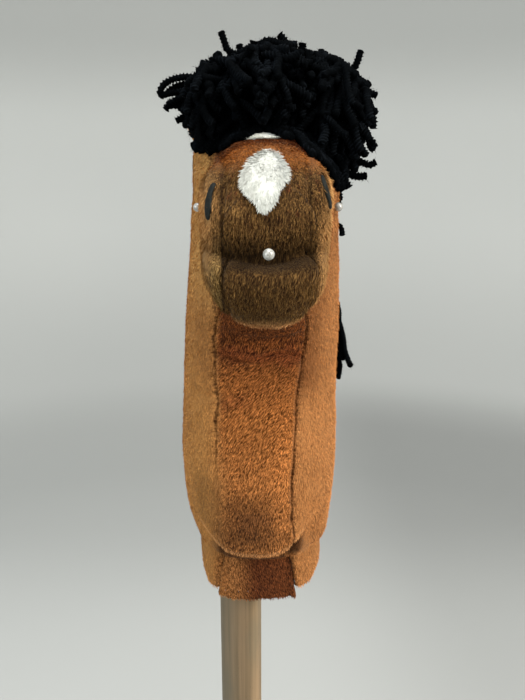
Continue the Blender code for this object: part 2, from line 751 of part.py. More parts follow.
def make_pins(head, panels, filling):
    inside = filling["head_stuffing"]
    point, _ = SURFACE.hit((HEAD_SHIFT, -FAR, MOUTH_HEIGHT), (0, 1, 0))
    make_pin("front_pin", point, (0, -1, 0), head, (panels["nose_gusset"], panels["throat_gusset"], inside))
    for side, sign in (("left", -1), ("right", 1)):
        pierced = (panels[f"{side}_side_panel"], inside)
        make_pin(f"{side}_pin", side_pin_point(sign), (sign, 0, 0), head, pierced)


clear_scene()
SURFACE = Surface()
make_stick()
HEAD = empty("head_frame", (0, 0, HEM_Z))
CUT = make_cutters(HEAD)
TRIM = cutter("cut_on_plush", body_form(GAP), HEAD)
PANELS = make_panels(HEAD, CUT)
FILLING = make_filling(HEAD, CUT)
make_markings(HEAD, TRIM)
make_nostrils(HEAD, TRIM)
SPACES = make_eyes(HEAD, TRIM) + make_ears(HEAD, TRIM)
make_tape(HEAD, TRIM)
UNDER_YARN = 2 * GAP + max(TAPE_THICKNESS, MARKING_THICKNESS)
SPACES += side_pin_spaces(HEAD)
SPACES.append(cutter("cut_under_yarn", body_form(UNDER_YARN, drop=20 * MM), HEAD))
make_forelock(HEAD, SPACES)
make_mane(HEAD, SPACES)
make_pins(HEAD, PANELS, FILLING)
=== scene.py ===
"""Looks of the hobby horse: stuffed plush head, black yarn forelock and mane, white markings,
pearl-headed pins and a round wooden stick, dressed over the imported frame."""

import math

import bpy
import numpy as np
from mathutils import Euler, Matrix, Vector
from mathutils.bvhtree import BVHTree


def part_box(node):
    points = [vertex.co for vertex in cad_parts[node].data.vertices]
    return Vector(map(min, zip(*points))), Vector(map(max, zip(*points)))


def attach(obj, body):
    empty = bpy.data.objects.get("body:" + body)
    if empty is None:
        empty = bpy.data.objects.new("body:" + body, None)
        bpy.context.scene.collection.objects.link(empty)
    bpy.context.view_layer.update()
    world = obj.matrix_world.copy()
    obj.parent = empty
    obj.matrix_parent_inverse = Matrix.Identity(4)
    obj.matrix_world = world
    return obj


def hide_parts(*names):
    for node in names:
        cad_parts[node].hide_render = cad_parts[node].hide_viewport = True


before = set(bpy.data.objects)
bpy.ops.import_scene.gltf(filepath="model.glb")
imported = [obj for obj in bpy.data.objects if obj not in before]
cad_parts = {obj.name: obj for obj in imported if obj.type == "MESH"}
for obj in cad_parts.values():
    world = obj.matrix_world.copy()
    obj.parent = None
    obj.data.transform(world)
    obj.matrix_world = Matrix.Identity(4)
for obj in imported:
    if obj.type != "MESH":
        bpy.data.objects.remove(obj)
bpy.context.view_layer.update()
chance = np.random.default_rng(11)

# Lengths in this file are millimetres, and MM turns them into metres
MM = 0.001
PHOTO_WIDTH, PHOTO_HEIGHT, PHOTO_FOCUS = 525, 700, 650
# The hem is HEM above the stick's foot, and the heights below are above the hem
HEM, HEAD_SHIFT, HEAD_SWAY, MUZZLE_FRONT = 600.0, 12.0, 2.5, 126.0
TUCK, THROAT, CHIN, MOUTH, NOSE, POLL = 30.0, 156.0, 173.5, 205.0, 242.0, 267.0
STICK_RADIUS, STICK_LENGTH, SOCKET_RADIUS, SOCKET_DEPTH = 12.5, 800, 13.3, 200.0
full = 2 * math.pi


# Shader sums


def maths(operation):
    """A way for a shade to be summed by one Math node."""

    def summed(shade, *others):
        return shade.look.add("Math", shade, *others, operation=operation)

    return summed


class Shade:
    """One socket of a material, which sums like a number."""

    def __init__(self, look, socket):
        self.look, self.socket = look, socket

    __add__ = __radd__ = maths("ADD")
    __sub__ = maths("SUBTRACT")
    __mul__ = __rmul__ = maths("MULTIPLY")
    __truediv__ = maths("DIVIDE")
    __pow__ = maths("POWER")
    smallest, largest = maths("MINIMUM"), maths("MAXIMUM")
    magnitude, wave = maths("ABSOLUTE"), maths("SINE")

    def __rsub__(self, other):
        return self.look.add("Math", other, self, operation="SUBTRACT")

    def ramp(self, low, high):
        """0 at low to 1 at high, smooth at both ends. High may be the smaller one."""
        if high < low:
            return 1 - self.ramp(high, low)
        return self.look.add("MapRange", self, low, high, interpolation_type="SMOOTHSTEP")


class Look:
    """One procedural material, made over the frame's coordinates in millimetres."""

    def __init__(self, name, **finish):
        self.material = bpy.data.materials.new(name)
        self.material.use_nodes = True
        self.tree = self.material.node_tree
        self.shader = self.tree.nodes["Principled BSDF"].inputs
        for socket, value in finish.items():
            self.shader[socket.replace("_", " ")].default_value = value
        self.place = self.tint(self.add("TexCoord", out="Object"), 1 / MM)
        parts = self.add("SeparateXYZ", self.place).socket.node.outputs
        self.x, self.y, self.z = (Shade(self, part) for part in parts)

    def add(self, kind, *values, out=0, named=(), **settings):
        """A node of a type, its settings first and then what its sockets take, in turn or by name."""
        node = self.tree.nodes.new("ShaderNode" + kind)
        for name, value in settings.items():
            setattr(node, name, value)
        for name, value in [*enumerate(values), *dict(named).items()]:
            self.feed(node.inputs[name], value)
        return Shade(self, node.outputs[out])

    def feed(self, socket, value):
        if isinstance(value, Shade):
            self.tree.links.new(value.socket, socket)
        else:
            socket.default_value = value

    def stretched(self, size, stretch, at=None):
        scale = [1 / (size * s) for s in stretch]
        return self.add("VectorMath", at or self.place, scale, operation="MULTIPLY")

    def noise(self, size, detail=2.0, rough=0.5, stretch=(1, 1, 1), twist=0.0, at=None):
        """Noise from 0 to 1 with lumps about size apart, longer where stretch is more."""
        sockets = {"Vector": self.stretched(size, stretch, at), "Scale": 1.0, "Detail": detail}
        sockets |= {"Roughness": rough, "Distortion": twist}
        return self.add("TexNoise", named=sockets, out="Fac", noise_dimensions="3D")

    def cells(self, size, stretch=(1, 1, 1)):
        sockets = {"Vector": self.stretched(size, stretch), "Scale": 1.0}
        return self.add("TexVoronoi", named=sockets, out="Distance", voronoi_dimensions="3D")

    def blend(self, share, first, second, mode="MIX"):
        """Colour between two colours, each (r, g, b) or a shade."""
        first, second = (c if isinstance(c, Shade) else (*c, 1.0) for c in (first, second))
        sockets = {0: share, 6: first, 7: second}
        return self.add("Mix", named=sockets, out=2, data_type="RGBA", blend_type=mode)

    def tint(self, color, amount):
        """The colour made lighter or darker by a number."""
        return self.add("VectorMath", color, named={"Scale": amount}, operation="SCALE")

    def layered(self, color, *layers):
        """A colour under layers, each a share and the colour laid over it, or a tint."""
        for layer in layers:
            if isinstance(layer, tuple):
                color = self.blend(layer[0], color, layer[1])
            else:
                color = self.tint(color, layer)
        return color

    def color(self, value):
        self.feed(self.shader["Base Color"], value)

    def rough(self, value):
        self.feed(self.shader["Roughness"], value)

    def bump(self, height, depth, strength=1.0):
        """Relief of a height from 0 to 1 that is depth millimetres deep."""
        sockets = {"Strength": strength, "Distance": depth * MM, "Height": height}
        self.feed(self.shader["Normal"], self.add("Bump", named=sockets))


# Meshes and sums on points


def stacked(*parts):
    """Numbers and arrays of them as the last axis of one array."""
    return np.stack(np.broadcast_arrays(*parts), axis=-1)


def piece(name, points, faces, look, slot, *replaced, body="head", uv=None, smooth=True, fill=None):
    """A mesh from points in millimetres and arrays of corners. It rides on a body, takes its finish from a
    look, and may stand for nodes, which it hides. The slot and fill that it is given are not used."""
    points = np.reshape(points, (-1, 3))
    faces = [np.asarray(part, dtype=np.int32) for part in faces if len(part)]
    corners = np.concatenate([part.ravel() for part in faces])
    sides = np.concatenate([np.full(len(part), part.shape[1]) for part in faces])
    mesh = bpy.data.meshes.new(name)
    mesh.vertices.add(len(points))
    mesh.vertices.foreach_set("co", (points * MM).astype(np.float32).ravel())
    mesh.loops.add(len(corners))
    mesh.loops.foreach_set("vertex_index", corners)
    mesh.polygons.add(len(sides))
    mesh.polygons.foreach_set("loop_start", (np.cumsum(sides) - sides).astype(np.int32))
    mesh.update(calc_edges=True)
    if uv is not None:
        layer = mesh.uv_layers.new(name="OFBake")
        layer.data.foreach_set("uv", np.reshape(uv, (-1, 2))[corners].astype(np.float32).ravel())
    mesh.polygons.foreach_set("use_smooth", np.full(len(sides), smooth))
    mesh.validate()
    mesh.materials.append(look.material)
    made = bpy.data.objects.new(name, mesh)
    bpy.context.scene.collection.objects.link(made)
    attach(made, body)
    if replaced:
        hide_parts(*replaced)
    return made


def grid_faces(rows, columns, start=0, closed=False):
    """Quads between the points of a grid that is stored row by row."""
    across = np.arange(columns if closed else columns - 1)
    beside = (across + 1) % columns
    below = (np.arange(rows - 1) * columns)[:, None]
    return stacked(below + across, below + beside, below + columns + beside,
                   below + columns + across).reshape(-1, 4) + start


def fan(first, columns, tip, under=False):
    """Triangles from a ring, whose corners start at first, to a tip."""
    k = np.arange(columns)
    ring = [first + k, first + (k + 1) % columns]
    return stacked(*(ring[::-1] if under else ring), tip).reshape(-1, 3)


def capped(rings, low, high):
    """Points and faces of a closed body, from its rings and the middles of its ends."""
    rows, columns = rings.shape[:2]
    last = rows * columns
    faces = [grid_faces(rows, columns, closed=True), fan(0, columns, last, under=True)]
    faces.append(fan(last - columns, columns, last + 1))
    return np.concatenate([rings.reshape(-1, 3), [low, high]]), faces


def around(columns):
    return np.linspace(0, full, columns, endpoint=False)


def circle(turn):
    """Points of a circle of radius 1 that lies flat."""
    return stacked(np.cos(turn), np.sin(turn), 0)


def lumps(points, size, seed=0, stretch=(1, 1, 1)):
    """Smooth noise from -1 to 1 with lumps about size apart."""
    cell = points / (size * np.asarray(stretch, float)) + seed * 31.7
    low = np.floor(cell).astype(np.int64)
    part = cell - low
    part = part * part * (3 - 2 * part)
    total = np.zeros(points.shape[:-1])
    for corner in np.ndindex(2, 2, 2):
        at = low + np.array(corner)
        mixed = (at[..., 0] * 73856093) ^ (at[..., 1] * 19349663) ^ (at[..., 2] * 83492791)
        mixed = (mixed ^ (mixed >> 13)) * 1274126177
        value = ((mixed >> 9) & 0xFFFF) / 32767.5 - 1
        share = np.where(np.array(corner) == 1, part, 1 - part)
        total += value * share[..., 0] * share[..., 1] * share[..., 2]
    return total


def normalised(vectors):
    return vectors / np.maximum(np.linalg.norm(vectors, axis=-1, keepdims=True), 1e-9)


def flattened(ways, normals):
    """Directions laid down on a surface."""
    return ways - normals * np.sum(normals * ways, axis=-1, keepdims=True)


def bell(value, width):
    return np.exp(-((value / width) ** 2))


def smoothstep(low, high, value):
    share = np.clip((value - low) / (high - low), 0, 1)
    return share * share * (3 - 2 * share)


def through(p, q, r, s, t):
    """The smooth curve from q to r, with p before and s after them, t of the way along."""
    return (2 * q + (r - p) * t + (2 * p - 5 * q + 4 * r - s) * t**2 + (3 * q - p - 3 * r + s) * t**3) / 2


def lengths_along(points):
    """How far each point of a line is along it."""
    steps = np.linalg.norm(np.diff(points, axis=-2), axis=-1)
    return np.concatenate([0 * steps[..., :1], np.cumsum(steps, axis=-1)], axis=-1)


def grown(outline, share):
    middle = outline.mean(axis=0)
    return middle + (outline - middle) * share


def rounded(*numbers, steps=60):
    """A closed smooth curve through flat points, given as their two numbers in turn."""
    outline = np.reshape(numbers, (-1, 2)).astype(float)
    count = len(outline)
    t = np.arange(steps) * count / steps
    first = t.astype(int)
    return through(*(outline[(first + k) % count] for k in (-1, 0, 1, 2)), (t - first)[:, None])


def inside_outline(spots, outline):
    """Which flat spots lie inside an outline."""
    x, y = spots[:, 0], spots[:, 1]
    found = np.zeros(len(spots), bool)
    for (ax, ay), (bx, by) in zip(outline, np.roll(outline, -1, axis=0)):
        level = np.where(by == ay, 1e-9, by - ay)
        found ^= ((ay > y) != (by > y)) & (x < (bx - ax) * (y - ay) / level + ax)
    return found


def box_of(node):
    """The middle of a node's box and half its size."""
    low, high = (np.array(corner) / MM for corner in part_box(node))
    return (low + high) / 2, (high - low) / 2


# Camera, from which single ends of yarn are placed too

camera = bpy.data.objects.new("camera", bpy.data.cameras.new("camera"))
bpy.context.scene.collection.objects.link(camera)
bpy.context.scene.camera = camera
camera_spot = np.array([HEAD_SHIFT - 7.7, -343.5, 832.0])
camera.location = camera_spot * MM
camera.rotation_euler = Euler((math.radians(90 - 15.5), 0, -math.atan(17 / PHOTO_FOCUS)))
camera.data.sensor_width = 36
camera.data.lens = 36 * PHOTO_FOCUS / PHOTO_HEIGHT
camera.data.clip_start, camera.data.clip_end = 0.01, 50
camera_turn = np.array(camera.rotation_euler.to_matrix())


def seen(points):
    """The photo's column and row of points, and their distance along the view."""
    local = (np.asarray(points) - camera_spot) @ camera_turn
    depth = -local[..., 2]
    column = PHOTO_WIDTH / 2 + PHOTO_FOCUS * local[..., 0] / depth
    return column, PHOTO_HEIGHT / 2 - PHOTO_FOCUS * local[..., 1] / depth, depth


def unseen(column, row, depth):
    """The point at a column, a row and a distance along the view."""
    across = (column - PHOTO_WIDTH / 2) * depth / PHOTO_FOCUS
    up = (PHOTO_HEIGHT / 2 - row) * depth / PHOTO_FOCUS
    return stacked(across, up, -np.asarray(depth, float)) @ camera_turn.T + camera_spot


def at_depth(y, *spots):
    """The points seen at columns and rows that are y ahead of or behind the stick."""
    column, row = np.reshape(spots, (-1, 2)).T.astype(float)
    ray = unseen(column, row, np.ones_like(column)) - camera_spot
    return camera_spot + ray * ((y - camera_spot[1]) / ray[..., 1:2])


# Body form, as in the source


def below_mouth(share):
    return MOUTH - (MOUTH - CHIN) * share


def above_mouth(share):
    return MOUTH + (NOSE - MOUTH) * share


def body_stations():
    """Rows of the under line's y and height, the over line's y and height, the width, how square
    it is, how much wider its top is and how much of the head's sway it takes."""
    hem, chest, back, front = -30.0, -61.0, 51.0, -MUZZLE_FRONT
    neck, crown, muzzle = 85.5, 74.0, 48.0
    waist = (64 + neck) / 2
    rows = [
        (hem, 0, 36, 0, 64, 2.6, 0, -0.3),
        (hem - 1, TUCK * 0.5, 40, TUCK * 0.43, 67, 2.6, 0, -0.3),
        (hem - 3, TUCK, back - 7, TUCK - 8, waist - 2, 2.5, 0, -0.3),
        (chest + 16, TUCK + 5, back - 5, TUCK, neck - 8, 2.4, 0, -0.2),
        (chest + 5, TUCK + 15, back - 3, TUCK + 12, neck - 4, 2.4, 0, -0.2),
        (chest, TUCK + 32, back - 1, TUCK + 30, neck - 1, 2.4, 0, -0.3),
        (chest, TUCK + 57, back, TUCK + 57, neck, 2.4, 0, -0.4),
        (chest + 3, THROAT - 41, back, THROAT - 31, neck - 3, 2.4, 0, -0.2),
        (chest + 7, THROAT - 13, back, THROAT + 12, crown + 6, 2.4, 0, 0.2),
        (chest + 6, THROAT, back - 3, THROAT + 49, crown + 3, 2.4, 0, 0.6),
        (chest + 3, THROAT + 4, back - 13, POLL - 29, crown, 2.4, 0.02, 0.9),
        (chest, THROAT + 8, back - 33, POLL - 8, crown - 4, 2.4, 0.10, 1.0),
        (chest - 4, THROAT + 11, -6, POLL, crown - 9, 2.5, 0.24, 1.0),
        (front + 54, CHIN - 5, front + 98, POLL - 7, muzzle + 9, 2.5, 0.27, 1.0),
        (front + 46, CHIN - 4, front + 80, NOSE + 6, muzzle + 6, 2.5, 0.10, 0.9),
        (front + 38, CHIN - 2, front + 60, NOSE + 2, muzzle + 4, 2.4, 0.02, 0.7),
        (front + 29, CHIN - 1, front + 40, NOSE + 1, muzzle + 2, 2.4, 0, 0.5),
        (front + 19, below_mouth(0.97), front + 24, above_mouth(0.97), muzzle, 2.4, 0, 0.3),
        (front + 11, below_mouth(0.87), front + 13, above_mouth(0.87), muzzle * 0.94, 2.4, 0, 0.3),
        (front + 5, below_mouth(0.65), front + 6, above_mouth(0.68), muzzle * 0.81, 2.3, 0, 0.3),
        (front + 1, below_mouth(0.29), front + 2, above_mouth(0.41), muzzle * 0.52, 2.1, 0, 0.3),
        (front, MOUTH - 0.3, front, MOUTH + 0.3, 0.4, 2.1, 0, 0.3),
    ]
    return np.array(rows, float)


stations = body_stations()
LAST_STATION = len(stations) - 1


def signed_power(value, power):
    return np.sign(value) * np.abs(value) ** power


def on_body(where, angles):
    """Points of the body's outline at places along it, where 1 is the second station. Angle 0 is its
    over line and pi its under line, with the right side between them."""
    where = np.clip(where, 0, LAST_STATION)
    first = np.minimum(where.astype(int), LAST_STATION - 1)
    four = (stations[np.clip(first + k, 0, LAST_STATION)] for k in (-1, 0, 1, 2))
    curve = through(*four, (where - first)[:, None])
    curve[:, 4] = np.maximum(curve[:, 4], 0.2)
    under_y, under_z, over_y, over_z, width, squareness, top, aside = curve.T[:, :, None]
    along = signed_power(np.cos(angles), 2 / squareness)
    across = signed_power(np.sin(angles), 2 / squareness)
    y = (under_y + over_y) / 2 + along * (over_y - under_y) / 2
    z = (under_z + over_z) / 2 + along * (over_z - under_z) / 2
    x = HEAD_SHIFT + aside * HEAD_SWAY + width / 2 * (1 + top * along) * across
    return stacked(x, y, z + HEM)


def nose_seam(y, side):
    """How far the nose gusset's seam lies from the head's middle."""
    return np.interp(y, [-112, -24, 12, 13], [14.9 + 0.6 * side, 21, 5, 0])


def throat_seam(z, side):
    """How far the throat gusset's seam lies from the head's middle."""
    height = z - HEM
    wiggle = 0.5 * np.sin(height / 7.3) + 0.35 * np.sin(height / 3.1 + 2)
    if side > 0:
        heights = [0, 38, 80, 105, 130, 163, 180, 205]
        return wiggle * 0.5 + np.interp(height, heights, [20.5, 15.6, 14.3, 15.2, 17.0, 21.0, 18.4, 18.9])
    return np.interp(height, [0, 38, 166, 179.5, 198, 205], [25, 22, 22.5, 14.8, 14.4, 15.8]) + wiggle


def seam_angles(side):
    """For each place, the angles of the nose seam and of the throat seam on one side."""
    last_angle = 720
    angles = np.linspace(0, math.pi, last_angle + 1)
    points = on_body(places, side * angles[None, :])
    out = side * (points[..., 0] - HEAD_SHIFT)
    above = points[..., 2] > HEM + MOUTH
    mouth = above.sum(axis=1)
    nose = out - nose_seam(points[..., 1], side)
    throat = out - throat_seam(points[..., 2], side)

    def crossing(values, after, before):
        share = values[after] / np.where(values[after] == values[before], 1, values[after] - values[before])
        return angles[after] + (angles[before] - angles[after]) * np.clip(share, 0, 1)

    found = []
    for k in range(len(places)):
        upper = np.flatnonzero((nose[k] > 0) & (above[k] | (mouth[k] == 0)))
        lower = np.flatnonzero((throat[k] > 0) & ~above[k])
        if len(upper) == 0 or len(lower) == 0:
            found.append([angles[min(mouth[k], last_angle)]] * 2)
            continue
        first, last = upper[0], lower[-1]
        found.append((crossing(nose[k], first, first - 1) if first else 0.0,
                      crossing(throat[k], last, last + 1) if last < last_angle else math.pi))
    return np.array(found).T


def even_places(step):
    """Places along the body whose outlines lie about step apart where they are widest apart."""
    fine = np.linspace(0, LAST_STATION, 2600)
    lines = on_body(fine, np.array([0.0, math.pi / 4, math.pi / 2, math.pi * 3 / 4, math.pi])[None, :])
    gaps = np.linalg.norm(np.diff(lines, axis=0), axis=-1).max(axis=1)
    length = np.concatenate([[0], np.cumsum(gaps)])
    return np.interp(np.linspace(0, length[-1], int(length[-1] / step)), length, fine)


def body_normals(where, angles):
    """Outward directions of the plain body form."""
    turn, step = 0.02, 0.03
    ahead = on_body(np.minimum(where + step, LAST_STATION), angles)
    behind = on_body(np.maximum(where - step, 0), angles)
    beside = on_body(where, angles + turn) - on_body(where, angles - turn)
    normals = normalised(np.cross(ahead - behind, beside))
    tip = smoothstep(LAST_STATION - 0.6, LAST_STATION - 0.1, where)[:, None, None]
    return normalised(normals * (1 - tip) + np.array([0, -1, 0]) * tip)


def panel_grid(where, start, end, columns, crowd=0.09):
    """Angles of a panel between two seams, closer together near them, and how far each point is
    from the two seams along the outline."""
    steps = np.linspace(0, 1, columns)
    even = steps - crowd * np.sin(full * steps)
    angles = start[:, None] + (end - start)[:, None] * np.linspace(0, 1, 161)
    lengths = lengths_along(on_body(where, angles))
    away = even * np.maximum(lengths[:, -1:], 1e-6)
    found = [np.interp(*row) for row in zip(away, lengths, angles)]
    return np.array(found), away, lengths[:, -1:] - away


# Plush: four panels, sewn together


def relief(points, normals, near, far, depths):
    """How far the stuffing, the seams, the mouth and the folds move the plush out."""
    x = points[..., 0] - HEAD_SHIFT
    y = points[..., 1]
    height = points[..., 2] - HEM
    out = 0.5 * lumps(points, 24, 1) + 0.28 * lumps(points, 9, 2) + 0.14 * lumps(points, 3.4, 3)
    pucker = lumps(points, 5.0, 4)
    tight = 1 + 0.55 * lumps(points, 6, 10)
    # The seam at the left all but closes over the belly of the throat
    tight = tight * (1 - 0.88 * bell(height - 70, 40) * smoothstep(0, -10, x) * smoothstep(-20, -40, y))
    for away, depth in zip((near, far), depths):
        out -= depth * tight * (bell(away, 1.0) + 0.5 * bell(away, 3.5))
        out += 0.55 * pucker * bell(away - 2.6, 2.2)
    # The sheet lies back a little on the muzzle, where the pile is longest
    out -= 0.9 * smoothstep(-70, -92, y)
    lips = smoothstep(-96, -110, y) * smoothstep(26, 17, np.abs(x))
    mouth_line = height - MOUTH + 4.4 - 2.5 * (x / 17) ** 2 - 0.5 * lumps(points, 8, 5)
    out -= 5.5 * lips * np.where(mouth_line > 0, bell(mouth_line, 7.5), bell(mouth_line, 2.2))
    out += lips * (0.9 * bell(mouth_line - 16, 7) + 1.6 * bell(mouth_line + 7, 5.5))
    shoulder = smoothstep(-74, -90, y) * smoothstep(-124, -114, y) * smoothstep(13, 19, np.abs(x))
    out += 2.4 * shoulder * bell(height - 229, 9)
    facing = smoothstep(0.3, 0.8, -normals[..., 1])
    gusset = smoothstep(25, 17, np.abs(x + 3))
    throat = height - 148 - 1.8 * np.sin(x / 5) - 1.5 * lumps(points, 6, 6)
    broken = gusset * facing * (0.65 + 0.5 * lumps(points, 9, 11))
    out += broken * (1.0 * bell(throat - 4, 3) - 1.7 * bell(throat, 1.9) + 0.9 * bell(throat + 4, 3))
    out -= facing * 0.8 * bell(height - 132 - 0.15 * x, 2.5) * smoothstep(6, -4, x)
    bow = np.abs(x + 1) / 33
    crease = height - 42 - np.where(x > -1, 38 * bow**2.54, 15.5 * bow**3)
    held = facing * smoothstep(21, 15, x) * (1 - 0.7 * smoothstep(-20, -27, x))
    out -= 5.0 * held * smoothstep(4, -1, crease) * (1 - 0.25 * smoothstep(20, 0, height))
    out += 1.6 * held * bell(crease - 7, 5)
    out -= 6.0 * facing * smoothstep(15, 30, x) * bell(height - 46, 17)
    return out


# Half the taper of the neck's lower end, as heights above the hem and how far each side draws in
TAPER_HEIGHTS = (0, 12, 20, 29, 38, 46, 60, 80, 100, 130, 160)
TAPER = {
    -1: (1.6, -1.0, 0.3, 3.0, 5.2, 4.6, 2.3, 1.3, 1.0, 0.6, 0),
    1: (1.0, -3.6, -2.0, 3.2, 3.1, 2.6, 2.5, 1.6, 0.7, 0.3, 0),
}


def dressed(where, angles, near, far, depths, raised=0.0, away=0):
    """Points of the plush and its outward directions. A raised panel ends that much higher at the
    throat seam than the hem."""
    points = on_body(where, angles)
    normals = body_normals(where, angles)
    points = points + normals * relief(points, normals, near, far, depths)[..., None]
    x = points[..., 0] - HEAD_SHIFT
    height = points[..., 2] - HEM
    for side, taper in TAPER.items():
        drawn = sum(np.interp(height + step, TAPER_HEIGHTS, taper) for step in (-5, 0, 5)) / 3
        points[..., 0] -= side * drawn * smoothstep(18, 34, side * x)
    points[..., 0] -= 1.1 * smoothstep(-66, -96, points[..., 1])
    points[..., 2] += raised * bell(away, 16) * np.clip(1 - height / 26, 0, 1)
    if raised < 0:
        # The lower flap goes under the side panels' edges
        points[..., 0] += (x + 2.3) * np.where(x < -2.3, 0.075, 0.015) * np.clip(1 - height / 34, 0, 1)
    ragged = np.where(where < 0.6, 1 - where / 0.6, 0)[:, None]
    points[..., 2] += ragged * (0.9 * lumps(points, 4, 7) + 0.5 * lumps(points, 1.3, 8))
    return points, normals


def with_hem(points, normals):
    """Rows inside the hem, put before the others, so that the plush has its thickness there."""
    rows = []
    for inward, up in ((2.2, 16), (2.0, 7), (1.9, 1.0), (1.2, 0.1)):
        row = points[0] - normals[0] * inward
        row[:, 2] = points[0][:, 2] + up
        rows.append(row)
    return np.concatenate([rows, points])


def sewn_panel(start, end, columns, depths, raised=0.0, throat="far"):
    """Points, outward directions and distances to the nearer seam of a piece between two seams."""
    used = np.flatnonzero(np.abs(end - start) > 1e-3)
    keep = slice(used[0], used[-1] + 1)
    angles, near, far = panel_grid(places[keep], start[keep], end[keep], columns)
    away = {"near": near, "far": far, "both": 0 * near}[throat]
    points, normals = dressed(places[keep], angles, near, far, depths, raised, away)
    return points, normals, np.minimum(near, far)


NOSE_SEAM_DEPTH, THROAT_SEAM_DEPTH = 1.0, 1.3
places = even_places(0.85)
right_nose, right_throat = seam_angles(1)
left_nose, left_throat = full - seam_angles(-1)
both_seams = NOSE_SEAM_DEPTH, THROAT_SEAM_DEPTH
panels = {
    "nose": sewn_panel(left_nose - full, right_nose, 80, [NOSE_SEAM_DEPTH] * 2),
    "throat": sewn_panel(right_throat, left_throat, 80, [THROAT_SEAM_DEPTH] * 2, -2.6, "both"),
    "right": sewn_panel(right_nose, right_throat, 130, both_seams, 4.0, "far"),
    "left": sewn_panel(left_throat, left_nose, 130, both_seams[::-1], 1.2, "near"),
}


def surface_tree():
    """The dressed plush as one surface, to find places on."""
    points, faces, start = [], [], 0
    for panel, _, _ in panels.values():
        rows, columns = panel.shape[:2]
        points += panel.reshape(-1, 3).tolist()
        faces += grid_faces(rows, columns, start).tolist()
        start += rows * columns
    return BVHTree.FromPolygons(points, faces)


plush_tree = surface_tree()


def cast(start, way):
    """Where a line first meets the plush, and the plush's outward direction there."""
    spot, normal, _, _ = plush_tree.ray_cast(Vector(start), Vector(way).normalized())
    if spot is None:
        spot, normal, _, _ = plush_tree.find_nearest(Vector(start))
    if normal.dot(Vector(way)) > 0:
        normal = -normal
    return np.array(spot), np.array(normal)


# Looks of the plush


